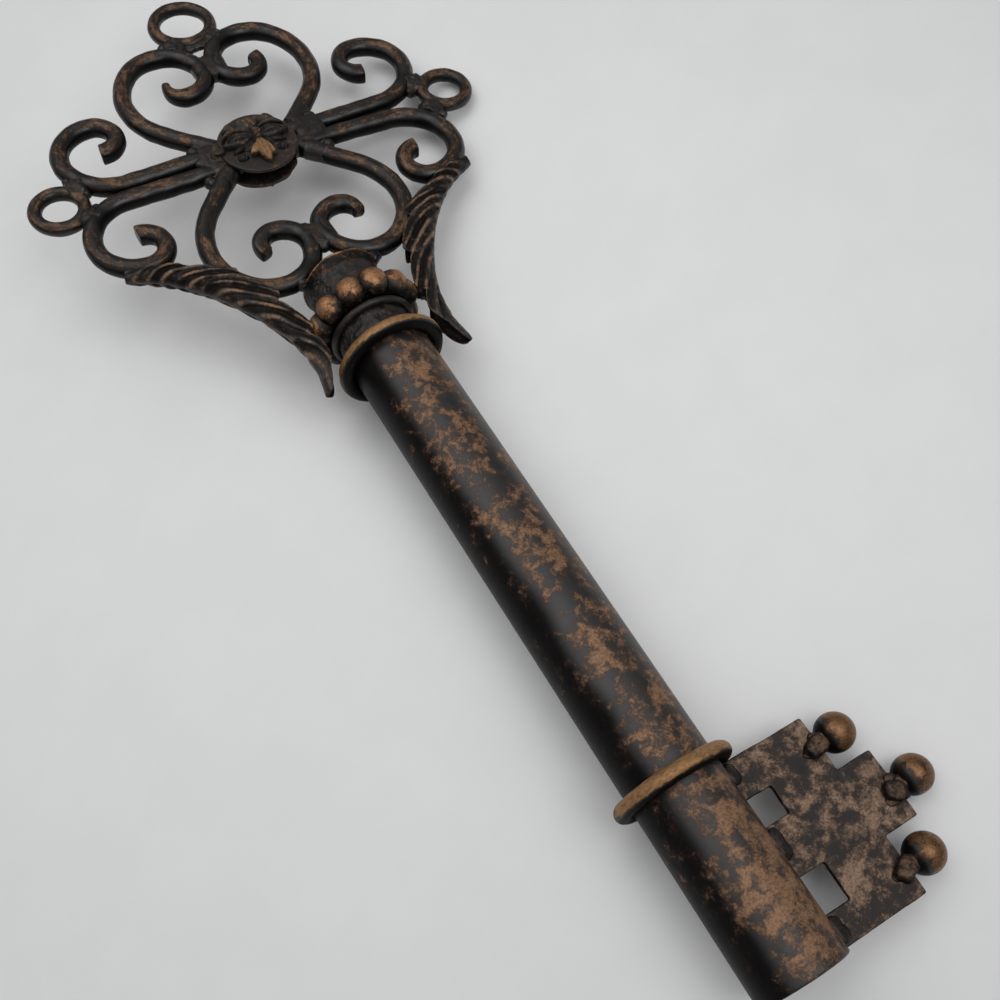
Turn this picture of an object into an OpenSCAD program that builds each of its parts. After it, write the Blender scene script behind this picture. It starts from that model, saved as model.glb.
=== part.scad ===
// Decorative skeleton key: a tube shaft, a plate bit and a bow of bent rod scrollwork.
// The origin is the centre of the shaft's open end. +Y runs along the shaft to the bow and
// +Z is up. The key lies as it rests on a table, rolled over towards its bit.

/* [Shaft] */
// Outside diameter of the shaft tube
tube_d = 33.4; // [28:0.2:40]
// Wall of the shaft tube
tube_wall = 1.7; // [1.2:0.1:2.5]
// Length of the shaft tube
tube_l = 270.2; // [200:0.1:340]
// Chamfer of the open end's outer edge
tube_edge = 0.7; // [0.2:0.1:0.9]
// Rod diameter of the two rings round the shaft
shaft_ring_rod_d = 6; // [4:0.2:8]

/* [Collar] */
// Wall of the spigot that joins the bow to the shaft
spigot_wall = 1.6; // [1.2:0.1:2.5]
// Length of the spigot inside the shaft
spigot_depth = 34; // [20:1:60]
// Length of the spigot above the shaft
spigot_reach = 37.8; // [34:0.1:50]
// Radial clearance of the seats round the spigot
spigot_fit = 0.1; // [0.05:0.05:0.2]
// Radial widening of the shaft's bore where the spigot sits
seat_ream = 0.3; // [0.2:0.05:0.5]
// Gap left below the spigot's end in its seat
seat_relief = 1; // [0.5:0.1:2]
// Rod diameter of the thin ring under the beads
thin_ring_rod_d = 3; // [2:0.2:4]
// Number of beads round the collar
bead_count = 12; // [10:1:14]
// Diameter of one bead
bead_d = 12.4; // [11:0.2:14]
// Radius of the circle through the bead centres
bead_circle_r = 18.1; // [17:0.1:19]
// Height of the bead centres above the shaft's end
bead_rise = 20.2; // [18:0.1:24]
// Turn of the bead band on the collar
bead_turn = 13; // [0:1:30]
// Flare of the collar's rim, radially
rim_flare = 1.9; // [1:0.1:3]
// Height of the flared rim
rim_h = 4.3; // [3:0.1:6]
// Thickness of the cap that closes the collar
cap_t = 2; // [1.5:0.1:3]

/* [Bow scrolls] */
// Diameter of the scroll rods
rod_d = 8; // [6:0.2:9]
// Thinning of a rod from one bend to the next, on its way to the curl
draw_down = 0.02; // [0.01:0.01:0.1]
// Gap between the two straight bars on each side
bar_gap = 1.4; // [1:0.1:3]
// Distance of the bars' inner ends from the bow's centre
bar_start = 9; // [7:0.5:11]
// Length of the straight bars
bar_l = 49.5; // [46:0.5:54]
// Outer bend of the side scrolls
side_outer_r = 21; // [19:0.5:23]
// Upper bend of the side scrolls
side_upper_r = 17; // [15:0.5:18]
// Curl of the side scrolls
side_curl_r = 9.2; // [8.5:0.1:10]
// Tip of the side scrolls
side_tip_r = 8; // [7:0.1:8.4]
// Slant of the heart scrolls' straight feet
heart_slant = 46; // [42:1:50]
// Length of those feet
heart_foot_l = 26.5; // [24:0.5:30]
// Flank bend of the heart scrolls
heart_flank_r = 35; // [32:0.5:38]
// Shoulder bend of the heart scrolls
heart_shoulder_r = 28; // [26:0.5:30]
// Crown bend of the heart scrolls
heart_crown_r = 19; // [18:0.5:21]
// Inward bend of the heart scrolls
heart_lobe_r = 17.5; // [16.5:0.5:18.5]
// Curl of the heart scrolls
heart_curl_r = 11.5; // [11:0.1:12.5]
// Tip of the heart scrolls
heart_tip_r = 7.3; // [6.8:0.1:8]
// Gap where the two lobes of a heart meet
lobe_gap = 0.1; // [0.1:0.1:1]
// Height of the bow's plane above the shaft's axis
bow_lift = 4.2; // [0:0.1:6]
// Lean of the hand-fitted bow towards the bit
bow_lean = 0.8; // [0:0.1:2]
// Gap between the collar's rim and the lower heart, filled by weld
bow_gap = 0.5; // [0.4:0.1:2]

/* [Hanging rings] */
// Rod diameter of the hanging rings
ring_rod_d = 5.8; // [5:0.2:6.4]
// Centre radius of the top ring
top_ring_r = 12.8; // [11:0.1:15]
// Centre radius of the side rings
side_ring_r = 10; // [9:0.1:12]
// Gap between a ring and its scrolls, filled by weld
ring_gap = 2.2; // [1.5:0.1:3]

/* [Medallion] */
// Diameter of the medallion's discs
disc_d = 34.6; // [32:0.2:37]
// Thickness of the discs
disc_t = 1.6; // [1.2:0.1:2]
// Number of scallops round the rear disc
scallop_count = 16; // [12:1:20]
// Diameter of the rosettes
rosette_d = 28; // [26:0.5:31]
// Height of the rosettes
rosette_h = 4; // [3.4:0.1:5]
// Number of petals on a rosette
petal_count = 8; // [6:1:9]
// Diameter of the centre rivet
rivet_d = 6; // [5:0.2:7]

/* [Leaves] */
// Thickness of the leaves' sheet
leaf_t = 1.2; // [0.8:0.1:1.3]
// Clearance between a rod and the inside of a leaf
leaf_fit = 0.3; // [0.2:0.1:0.8]
// Depth of a leaf at its tip
leaf_tip_depth = 6.5; // [6.2:0.1:7.2]
// Depth of a leaf at its widest
leaf_belly_depth = 13; // [12:0.5:15]
// Depth of a leaf beside the collar
leaf_waist_depth = 7.6; // [7:0.1:8]
// Depth of a leaf at its foot
leaf_foot_depth = 4.4; // [4.2:0.1:6]
// Number of scallops along a leaf's inner edge
leaf_lobes = 6; // [5:1:7]
// Depth of those scallops
leaf_scallop = 2.2; // [1:0.1:3]
// How far a leaf's foot stands off the upper shaft ring
foot_stand_off = 9.3; // [9:0.1:11]
// Narrowing of a leaf's foot, on each side
foot_taper = 1.8; // [0.5:0.1:2]

/* [Bit] */
// Thickness of the bit plate
plate_t = 2; // [1.5:0.1:3]
// Distance of the plate from the shaft's open end
plate_start = 1; // [0.9:0.1:4]
// Width of the plate's two outer steps, along the shaft
step_w = 20.7; // [18:0.1:22]
// Width of the plate's middle step, along the shaft
mid_step_w = 25.5; // [23:0.1:28]
// Height of the outer steps above the shaft's axis
step_h = 51; // [46:0.5:58]
// Rise of the middle step over the outer ones
mid_step_rise = 14.1; // [12:0.1:17]
// Height of the windows' outer edge above the shaft's axis
window_h = 27.8; // [24:0.1:32]
// Width of the lower window
low_window_w = 13.3; // [10:0.1:15]
// Distance of the lower window from the plate's lower edge
low_window_start = 11; // [8:0.1:13]
// Width of the upper window
high_window_w = 10.4; // [8:0.1:12]
// Distance of the upper window from the plate's upper edge
high_window_start = 14; // [12:0.1:17]
// Diameter of the balls on the bit
ball_d = 14.3; // [12:0.1:16]
// Gap between a ball and the plate's edge
ball_gap = 0.7; // [0.3:0.1:0.9]
// Distance of the end balls from the plate's ends
ball_inset = 10; // [9:0.1:11.5]
// Distance of the middle ball from the plate's upper end
mid_ball_inset = 34.7; // [31:0.1:37]
// Diameter of the stems that hold the balls
stem_d = 4.6; // [4:0.1:5]
// How far a stem laps onto the plate
stem_lap = 6; // [4:0.5:9]

/* [Hidden] */
$fn = 96;
// Extra length of a cutting shape past the face that it cuts
past = 1;

tube_r = tube_d / 2;
bore_r = tube_r - tube_wall;
seat_r = bore_r + seat_ream;
spigot_r = seat_r - spigot_fit;
spigot_y = tube_l - spigot_depth;
seat_y = spigot_y - seat_relief;
spigot_l = spigot_depth + spigot_reach;
spigot_bore_r = spigot_r - spigot_wall;
shaft_ring_rod_r = shaft_ring_rod_d / 2;
shaft_ring_r = tube_r + shaft_ring_rod_r;
plate_end = plate_start + 2 * step_w + mid_step_w;
lower_ring_y = plate_end + shaft_ring_rod_r;
upper_ring_y = tube_l - shaft_ring_rod_r;

bead_r = bead_d / 2;
bead_y = tube_l + bead_rise;
thin_rod_r = thin_ring_rod_d / 2;
thin_ring_r = spigot_r + thin_rod_r;
// The thin ring just touches the beads
thin_ring_y = bead_y - sqrt(pow(bead_r + thin_rod_r, 2) - pow(bead_circle_r - thin_ring_r, 2));
rim_y = tube_l + spigot_reach;
rim_top_y = rim_y + rim_h;

rod_r = rod_d / 2;
bar_y = rod_r + bar_gap / 2;
// The bends of each scroll: a run is [radius, sweep], or [0, length] where it is straight
side_runs = [[0, bar_l], [side_outer_r, 90], [side_upper_r, 90], [side_curl_r, 90], [side_tip_r, 70]];
heart_runs = [
    [0, heart_foot_l],
    [heart_flank_r, 90 - heart_slant],
    [heart_shoulder_r, 45],
    [heart_crown_r, 45],
    [heart_lobe_r, 90],
    [heart_curl_r, 90],
    [heart_tip_r, 105]
];
crown_runs = 4;
lobe_runs = 5;

// Place and heading, [x, y, angle], after one run, and after the first n runs
function after_run(at, run) = run[0] == 0
    ? [at[0] + run[1] * cos(at[2]), at[1] + run[1] * sin(at[2]), at[2]]
    : [
        at[0] + run[0] * (sin(at[2] + run[1]) - sin(at[2])),
        at[1] + run[0] * (cos(at[2]) - cos(at[2] + run[1])),
        at[2] + run[1]
    ];
function after_runs(runs, at, n) = n == 0 ? at : after_run(after_runs(runs, at, n - 1), runs[n - 1]);

side_start = [bar_start, bar_y, 0];
// A heart scroll starts where its inward bend just clears the other lobe
heart_start_x = rod_r + lobe_gap / 2 - after_runs(heart_runs, [0, bar_y, heart_slant], lobe_runs)[0];
heart_start = [heart_start_x, bar_y, heart_slant];
heart_crown = after_runs(heart_runs, heart_start, crown_runs);
lobe_y = after_runs(heart_runs, heart_start, lobe_runs)[1];
side_bend_x = bar_start + bar_l;
side_bend_y = bar_y + side_outer_r;
bow_y = rim_top_y + bow_gap + rod_r + heart_crown[1];

ring_rod_r = ring_rod_d / 2;
// The rings stand off the bends beside them by their gap
lobe_to_ring = heart_lobe_r + rod_r + ring_gap + ring_rod_r + top_ring_r;
top_ring_y = lobe_y + sqrt(pow(lobe_to_ring, 2) - pow(heart_crown[0], 2));
bend_to_ring = side_outer_r + rod_r + ring_gap + ring_rod_r + side_ring_r;
side_ring_x = side_bend_x + sqrt(pow(bend_to_ring, 2) - pow(side_bend_y, 2));

disc_r = disc_d / 2;
disc_top = rod_r + disc_t;
scallop_r = 2.2;
scallop_cut = 1;
rivet_r = rivet_d / 2;
rivet_fit = 0.1;
rivet_lip = 2;
rivet_head_r = rivet_r + rivet_lip;
rivet_head_h = 1.2;
petal_r = rosette_d / 2 * sin(180 / petal_count);
petal_circle_r = rosette_d / 2 - petal_r;
petal_h_share = 0.7;
petal_h = petal_h_share * rosette_h;

leaf_half_w = rod_r + leaf_fit + leaf_t;
// Least straight cheek beyond the round back of a leaf
leaf_cheek = 0.3;
// A leaf's foot reaches past the upper ring, and its tip stops short of the side scroll's bend
foot_reach = 8;
tip_short = [1, 0.7];
leaf_foot = [shaft_ring_r + shaft_ring_rod_r + foot_stand_off, upper_ring_y - bow_y - foot_reach];
leaf_tip = [side_bend_x + side_outer_r - tip_short[0], tip_short[1] - side_bend_y - side_upper_r - rod_r];
leaf_span = leaf_tip - leaf_foot;
// The back of a leaf, from foot to tip, in shares of the way across and along
leaf_back_shares = [[0, 0], [-0.04, 0.17], [0.02, 0.36], [0.17, 0.55], [0.39, 0.74], [0.69, 0.91], [1, 1]];
leaf_back = [for (share = leaf_back_shares) leaf_foot + [share[0] * leaf_span[0], share[1] * leaf_span[1]]];
// The depths between the named ones are eased by these amounts
foot_ease = 0.6;
belly_ease = 0.4;
tip_ease = 1.5;
leaf_depths = [
    leaf_foot_depth,
    leaf_waist_depth - foot_ease,
    leaf_waist_depth,
    leaf_belly_depth - belly_ease,
    leaf_belly_depth,
    (leaf_belly_depth + leaf_tip_depth) / 2 - tip_ease,
    leaf_tip_depth
];
steps_per_lobe = 4;
leaf_steps = steps_per_lobe * leaf_lobes;
leaf_bend_steps = 8;

ball_r = ball_d / 2;
ball_x = step_h + ball_gap + ball_r;
mid_ball_x = ball_x + mid_step_rise;
lower_ball_y = plate_start + ball_inset;
middle_ball_y = plate_end - mid_ball_inset;
upper_ball_y = plate_end - ball_inset;
stem_r = stem_d / 2;
stem_z = plate_t / 2 + stem_r;
low_window_y = plate_start + low_window_start;
high_window_y = plate_end - high_window_start - high_window_w;

// The key rests on its beads and on its middle ball
roll = asin((bead_circle_r + bead_r - ball_r) / mid_ball_x);

weld_r = 3.2;
// How far a foot's weld dips into its bar and its foot, and its distance from both axes
weld_bite = 1;
foot_weld_off = rod_r + weld_r - weld_bite;
// Height of the groove welds over the bow's plane
groove_weld_rise = 0.3;
groove_weld_z = weld_r + groove_weld_rise;
// Radius of the cutter that trims the collar's welds flat at the rim's top
rim_trim_r = 2 * tube_r;
// The plugs inside the leaves: their place along the leaf's back, in knots, and their clearance
heart_plug_knot = 4.2;
plug_fit = 0.02;

// Rolls the key over onto the table
module lying() {
    rotate([0, roll, 0]) children();
}

// Turns a shape drawn up +Z to run along the shaft from a place on it
module along_shaft(y) {
    translate([0, y, 0]) rotate([-90, 0, 0]) children();
}

// The bow's own plane: its centre is the origin and +Y leads away from the shaft
module on_bow() {
    lying() translate([0, upper_ring_y, 0]) rotate([0, 0, -bow_lean])
        translate([0, bow_y - upper_ring_y, bow_lift]) children();
}

// Turns the upper right quarter of the bow over into another one: x and y are 1 or -1
module quarter(x, y) {
    rotate([y < 0 ? 180 : 0, x < 0 ? 180 : 0, 0]) children();
}

module rod_ring(centre_r, section_r) {
    rotate_extrude() translate([centre_r, 0]) circle(r = section_r);
}

// Run number i of a scroll, in its place
module rod_run(start, runs, i) {
    at = after_runs(runs, start, i);
    run_r = rod_r - i * draw_down;
    translate([at[0], at[1], 0]) rotate([0, 0, at[2]])
        if (runs[i][0] == 0) rotate([0, 90, 0]) cylinder(h = runs[i][1], r = run_r);
        else translate([0, runs[i][0], 0])
            rotate_extrude(angle = runs[i][1], start = -90) translate([runs[i][0], 0]) circle(r = run_r);
}

module side_scroll() {
    for (i = [0 : len(side_runs) - 1]) rod_run(side_start, side_runs, i);
}

// The foot of a heart scroll is cut off square where it meets the bar beside it
module heart_scroll() {
    cut = 4 * rod_d;
    difference() {
        rod_run(heart_start, heart_runs, 0);
        translate([heart_start_x - cut / 2, bar_y + rod_r - cut, -cut / 2]) cube([cut, cut, cut]);
    }
    for (i = [1 : len(heart_runs) - 1]) rod_run(heart_start, heart_runs, i);
}

// The bend of a heart scroll that meets the other lobe
module lobe_bend() {
    rod_run(heart_start, heart_runs, crown_runs);
}

module shaft_tube() {
    color("#3d2e26") lying() along_shaft(0) rotate_extrude() polygon([
        [bore_r, 0],
        [tube_r - tube_edge, 0],
        [tube_r, tube_edge],
        [tube_r, tube_l],
        [seat_r, tube_l],
        [seat_r, seat_y],
        [bore_r, seat_y]
    ]);
}

module shaft_ring(y) {
    color("#6f513b") lying() along_shaft(y) rod_ring(shaft_ring_r, shaft_ring_rod_r);
}

module lower_shaft_ring() {
    shaft_ring(lower_ring_y);
}

module upper_shaft_ring() {
    shaft_ring(upper_ring_y);
}

module head_spigot() {
    color("#2b211c") lying() along_shaft(spigot_y) difference() {
        cylinder(h = spigot_l, r = spigot_r);
        translate([0, 0, -past]) cylinder(h = spigot_l + 2 * past, r = spigot_bore_r);
    }
}

module thin_collar_ring() {
    color("#4a382d") lying() along_shaft(thin_ring_y) rod_ring(thin_ring_r, thin_rod_r);
}

module bead_band() {
    color("#8a6448") lying() along_shaft(bead_y) difference() {
        for (i = [0 : bead_count - 1])
            rotate([0, 0, i * 360 / bead_count + bead_turn]) translate([bead_circle_r, 0, 0]) sphere(r = bead_r);
        translate([0, 0, -bead_d]) cylinder(h = 2 * bead_d, r = seat_r);
    }
}

module collar_rim() {
    color("#5a4334") lying() along_shaft(rim_y) rotate_extrude() polygon([
        [spigot_bore_r, 0],
        [spigot_r, 0],
        [spigot_r + rim_flare, rim_h],
        [spigot_bore_r + rim_flare, rim_h]
    ]);
}

module collar_cap() {
    color("#241c18") lying() along_shaft(rim_y - cap_t) cylinder(h = cap_t, r = spigot_bore_r - spigot_fit);
}

module heart(x, y) {
    color("#33261f") on_bow() quarter(x, y) heart_scroll();
}

module upper_right_heart_scroll() {
    heart(1, 1);
}

module upper_left_heart_scroll() {
    heart(-1, 1);
}

module lower_right_heart_scroll() {
    heart(1, -1);
}

module lower_left_heart_scroll() {
    heart(-1, -1);
}

module side(x, y) {
    color("#3a2b23") on_bow() quarter(x, y) side_scroll();
}

module upper_right_side_scroll() {
    side(1, 1);
}

module upper_left_side_scroll() {
    side(-1, 1);
}

module lower_right_side_scroll() {
    side(1, -1);
}

module lower_left_side_scroll() {
    side(-1, -1);
}

module top_hanging_ring() {
    color("#4a372b") on_bow() translate([0, top_ring_y, 0]) rod_ring(top_ring_r, ring_rod_r);
}

module side_ring(x) {
    color("#4a372b") on_bow() translate([x * side_ring_x, 0, 0]) rod_ring(side_ring_r, ring_rod_r);
}

module right_ring() {
    side_ring(1);
}

module left_ring() {
    side_ring(-1);
}

module front_disc() {
    color("#33271f") on_bow() translate([0, 0, rod_r]) difference() {
        cylinder(h = disc_t, r = disc_r);
        translate([0, 0, -past]) cylinder(h = disc_t + 2 * past, r = rivet_r + rivet_fit);
    }
}

module rear_disc() {
    color("#2b211b") on_bow() translate([0, 0, -disc_top]) difference() {
        cylinder(h = disc_t, r = disc_r);
        translate([0, 0, -past]) cylinder(h = disc_t + 2 * past, r = rivet_r + rivet_fit);
        for (i = [0 : scallop_count - 1])
            rotate([0, 0, i * 360 / scallop_count]) translate([disc_r + scallop_r - scallop_cut, 0, -past])
                cylinder(h = disc_t + 2 * past, r = scallop_r);
    }
}

// A ball sunk under the base plane until its cap there has the given radius and height
module sunk_ball(cap_r, cap_h) {
    whole_r = (cap_r * cap_r + cap_h * cap_h) / (2 * cap_h);
    translate([0, 0, cap_h - whole_r]) sphere(r = whole_r);
}

// Domed petals round a boss, hollowed underneath for the rivet's head
module rosette() {
    difference() {
        intersection() {
            union() {
                sunk_ball(petal_circle_r, rosette_h);
                for (i = [0 : petal_count - 1])
                    rotate([0, 0, (i + 0.5) * 360 / petal_count]) translate([petal_circle_r, 0, 0])
                        sunk_ball(petal_r, petal_h);
            }
            cylinder(h = rosette_h + past, r = rosette_d);
        }
        translate([0, 0, -past]) cylinder(h = past + rivet_head_h + rivet_fit, r = rivet_head_r + rivet_fit);
    }
}

module front_rosette() {
    color("#6d5039") on_bow() translate([0, 0, disc_top]) rosette();
}

module rear_rosette() {
    color("#4a382c") on_bow() rotate([180, 0, 0]) translate([0, 0, disc_top]) rosette();
}

module centre_rivet() {
    color("#241c18") on_bow() {
        translate([0, 0, -disc_top]) cylinder(h = 2 * disc_top, r = rivet_r);
        translate([0, 0, disc_top]) cylinder(h = rivet_head_h, r = rivet_head_r);
        translate([0, 0, -disc_top - rivet_head_h]) cylinder(h = rivet_head_h, r = rivet_head_r);
    }
}

// A smooth curve through knots, as points or as numbers, at u knots from the first
function knot(knots, i) = knots[max(0, min(len(knots) - 1, i))];
function curve_at(knots, u) =
    let (i = min(floor(u), len(knots) - 2), t = u - i)
    let (a = knot(knots, i - 1), b = knots[i], c = knots[i + 1], d = knot(knots, i + 2))
    (2 * b + (c - a) * t + (2 * a - 5 * b + 4 * c - d) * t * t + (3 * b - a - 3 * c + d) * t * t * t) / 2;

// One cross-section of a leaf: a channel with a round back, [depth, height] round its sheet
function channel(depth, half_w) =
    let (edge = max(depth, half_w + leaf_cheek), inner = half_w - leaf_t)
    concat(
        [[edge, half_w]],
        [for (i = [0 : leaf_bend_steps]) let (a = 90 - i * 180 / leaf_bend_steps) [half_w * (1 - cos(a)), half_w * sin(a)]],
        [[edge, -half_w], [edge, -inner]],
        [
            for (i = [0 : leaf_bend_steps]) let (a = i * 180 / leaf_bend_steps - 90)
                [half_w - inner * cos(a), inner * sin(a)]
        ],
        [[edge, inner]]
    );

// The corners of a leaf's cross-section at a share s of its length
function leaf_section(s) =
    let (last = len(leaf_back) - 1, u = s * last, nudge = 0.01)
    let (ahead = curve_at(leaf_back, min(u + nudge, last)) - curve_at(leaf_back, max(u - nudge, 0)))
    let (inward = [-ahead[1], ahead[0]] / norm(ahead), place = curve_at(leaf_back, u))
    let (notch = leaf_scallop / leaf_belly_depth * (1 - abs(sin(180 * leaf_lobes * s))))
    let (depth = curve_at(leaf_depths, u) * (1 - notch), half_w = leaf_half_w - foot_taper * pow(max(0, 1 - u), 2))
    [for (p = channel(depth, half_w)) [place[0] + p[0] * inward[0], place[1] + p[0] * inward[1], p[1]]];

module leaf() {
    sections = [for (i = [0 : leaf_steps]) leaf_section(i / leaf_steps)];
    n = len(sections[0]);
    last = leaf_steps * n;
    polyhedron(
        points = [for (section = sections) for (p = section) p],
        faces = concat(
            [for (k = [0 : n / 2 - 2]) for (face = [[k, n - 2 - k, k + 1], [k, n - 1 - k, n - 2 - k]]) face],
            [
                for (k = [0 : n / 2 - 2])
                    for (face = [[k, k + 1, n - 2 - k], [k, n - 2 - k, n - 1 - k]]) [for (i = face) last + i]
            ],
            [
                for (i = [0 : leaf_steps - 1]) for (k = [0 : n - 1])
                    let (a = i * n + k, b = i * n + (k + 1) % n) [a, b, b + n]
            ],
            [
                for (i = [0 : leaf_steps - 1]) for (k = [0 : n - 1])
                    let (a = i * n + k, b = i * n + (k + 1) % n) [a, b + n, a + n]
            ]
        )
    );
}

module right_leaf() {
    color("#5f4633") on_bow() leaf();
}

module left_leaf() {
    color("#5f4633") on_bow() rotate([0, 180, 0]) leaf();
}

module plate_outline() {
    polygon([
        [0, plate_start],
        [step_h, plate_start],
        [step_h, plate_start + step_w],
        [step_h + mid_step_rise, plate_start + step_w],
        [step_h + mid_step_rise, plate_end - step_w],
        [step_h, plate_end - step_w],
        [step_h, plate_end],
        [0, plate_end]
    ]);
}

// The plate's inner edge is coped to the tube, and its windows are open to the tube
module bit_plate() {
    color("#3f2f27") lying() difference() {
        translate([0, 0, -plate_t / 2]) linear_extrude(plate_t) difference() {
            plate_outline();
            translate([0, low_window_y]) square([window_h, low_window_w]);
            translate([0, high_window_y]) square([window_h, high_window_w]);
        }
        along_shaft(plate_start - past) cylinder(h = plate_end + past, r = tube_r);
    }
}

module ball(x, y) {
    translate([x, y, 0]) sphere(r = ball_r);
}

module lower_ball() {
    color("#7a573f") lying() ball(ball_x, lower_ball_y);
}

module middle_ball() {
    color("#7a573f") lying() ball(mid_ball_x, middle_ball_y);
}

module upper_ball() {
    color("#7a573f") lying() ball(ball_x, upper_ball_y);
}

// A stub of rod on the front of the plate that runs up to the ball
module ball_stem(x, y) {
    reach = ball_r + ball_gap + stem_lap;
    color("#2b211b") lying() difference() {
        translate([x - reach, y, stem_z]) rotate([0, 90, 0]) cylinder(h = reach, r = stem_r);
        ball(x, y);
    }
}

module lower_ball_stem() {
    ball_stem(ball_x, lower_ball_y);
}

module middle_ball_stem() {
    ball_stem(mid_ball_x, middle_ball_y);
}

module upper_ball_stem() {
    ball_stem(ball_x, upper_ball_y);
}

// A lump of weld, its poles along the shaft
module weld_lump() {
    rotate([90, 0, 0]) sphere(r = weld_r);
}

// Lumps between each heart foot and its bar, and across the groove between the bars
module junction_welds() {
    foot_weld_x = heart_start_x + foot_weld_off / tan(heart_slant / 2);
    color("#211a16") on_bow() for (x = [-1, 1]) {
        for (y = [-1, 1]) quarter(x, y) difference() {
            translate([foot_weld_x, bar_y + foot_weld_off, 0]) weld_lump();
            rod_run(side_start, side_runs, 0);
            rod_run(heart_start, heart_runs, 0);
        }
        for (z = [-1, 1]) difference() {
            translate([x * (disc_r + weld_r), 0, z * groove_weld_z]) weld_lump();
            for (y = [-1, 1]) quarter(x, y) rod_run(side_start, side_runs, 0);
        }
    }
}

// Lumps in the grooves where the two lobes of each heart meet
module heart_welds() {
    color("#211a16") on_bow() for (y = [-1, 1]) for (z = [-1, 1]) difference() {
        translate([0, y * lobe_y, z * weld_r]) weld_lump();
        for (x = [-1, 1]) quarter(x, y) {
            lobe_bend();
            rod_run(heart_start, heart_runs, lobe_runs);
        }
    }
}

// Lumps that bridge the gaps between the hanging rings and the scrolls
module ring_welds() {
    half_gap = ring_gap / 2 + rod_r;
    lobe_share = (heart_lobe_r + half_gap) / lobe_to_ring;
    bend_share = (side_outer_r + half_gap) / bend_to_ring;
    color("#211a16") on_bow() for (x = [-1, 1]) {
        quarter(x, 1) difference() {
            translate([heart_crown[0] * (1 - lobe_share), lobe_y + (top_ring_y - lobe_y) * lobe_share, 0])
                weld_lump();
            lobe_bend();
            translate([0, top_ring_y, 0]) rod_ring(top_ring_r, ring_rod_r);
        }
        for (y = [-1, 1]) quarter(x, y) difference() {
            translate([side_bend_x + (side_ring_x - side_bend_x) * bend_share, side_bend_y * (1 - bend_share), 0])
                weld_lump();
            rod_run(side_start, side_runs, 1);
            translate([side_ring_x, 0, 0]) rod_ring(side_ring_r, ring_rod_r);
        }
    }
}

// Lumps on the collar's rim that join it to the lower heart's lobes
module collar_welds() {
    rim_mid_r = spigot_bore_r + spigot_wall / 2 + rim_flare;
    rim_weld_x = sqrt(pow(rim_mid_r, 2) - pow(bow_lift, 2));
    color("#211a16") difference() {
        lying() difference() {
            for (x = [-1, 1]) translate([x * rim_weld_x, rim_top_y + bow_gap, bow_lift]) weld_lump();
            along_shaft(rim_y) cylinder(h = rim_h, r = rim_trim_r);
        }
        on_bow() for (x = [-1, 1]) quarter(x, -1) lobe_bend();
    }
}

// Plugs of weld inside the leaves, against the beads and against the lower heart
module leaf_welds() {
    plug_r = rod_r + leaf_fit - plug_fit;
    bead_plug_x = bead_circle_r + bead_r + plug_r / 2;
    heart_plug = curve_at(leaf_back, heart_plug_knot);
    color("#211a16") {
        difference() {
            on_bow() for (x = [-1, 1]) translate([x * bead_plug_x, bead_y - bow_y, 0]) sphere(r = plug_r);
            bead_band();
        }
        on_bow() for (x = [-1, 1]) quarter(x, 1) difference() {
            translate([heart_plug[0] - plug_r, heart_plug[1] + plug_r, 0]) sphere(r = plug_r);
            rotate([180, 0, 0]) rod_run(heart_start, heart_runs, 2);
        }
    }
}

// Lumps along the joint between the plate and the tube, on both faces
module bit_welds() {
    color("#211a16") lying() difference() {
        for (y = [plate_start + weld_r, low_window_y + low_window_w + weld_r, plate_end - weld_r])
            for (z = [-1, 1]) translate([tube_r, y, z * weld_r]) sphere(r = weld_r);
        along_shaft(0) cylinder(h = tube_l, r = tube_r);
        translate([0, 0, -plate_t / 2]) cube([window_h, plate_end, plate_t]);
    }
}

shaft_tube();
lower_shaft_ring();
upper_shaft_ring();
head_spigot();
thin_collar_ring();
bead_band();
collar_rim();
collar_cap();
upper_right_heart_scroll();
upper_left_heart_scroll();
lower_right_heart_scroll();
lower_left_heart_scroll();
upper_right_side_scroll();
upper_left_side_scroll();
lower_right_side_scroll();
lower_left_side_scroll();
top_hanging_ring();
right_ring();
left_ring();
front_disc();
rear_disc();
front_rosette();
rear_rosette();
centre_rivet();
right_leaf();
left_leaf();
bit_plate();
lower_ball();
middle_ball();
upper_ball();
lower_ball_stem();
middle_ball_stem();
upper_ball_stem();
junction_welds();
heart_welds();
ring_welds();
collar_welds();
leaf_welds();
bit_welds();
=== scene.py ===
# The looks of a decorative skeleton key: oil-rubbed bronze over welded rod, tube and plate
import math

import bpy
from mathutils import Euler, Matrix, Vector, noise


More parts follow.
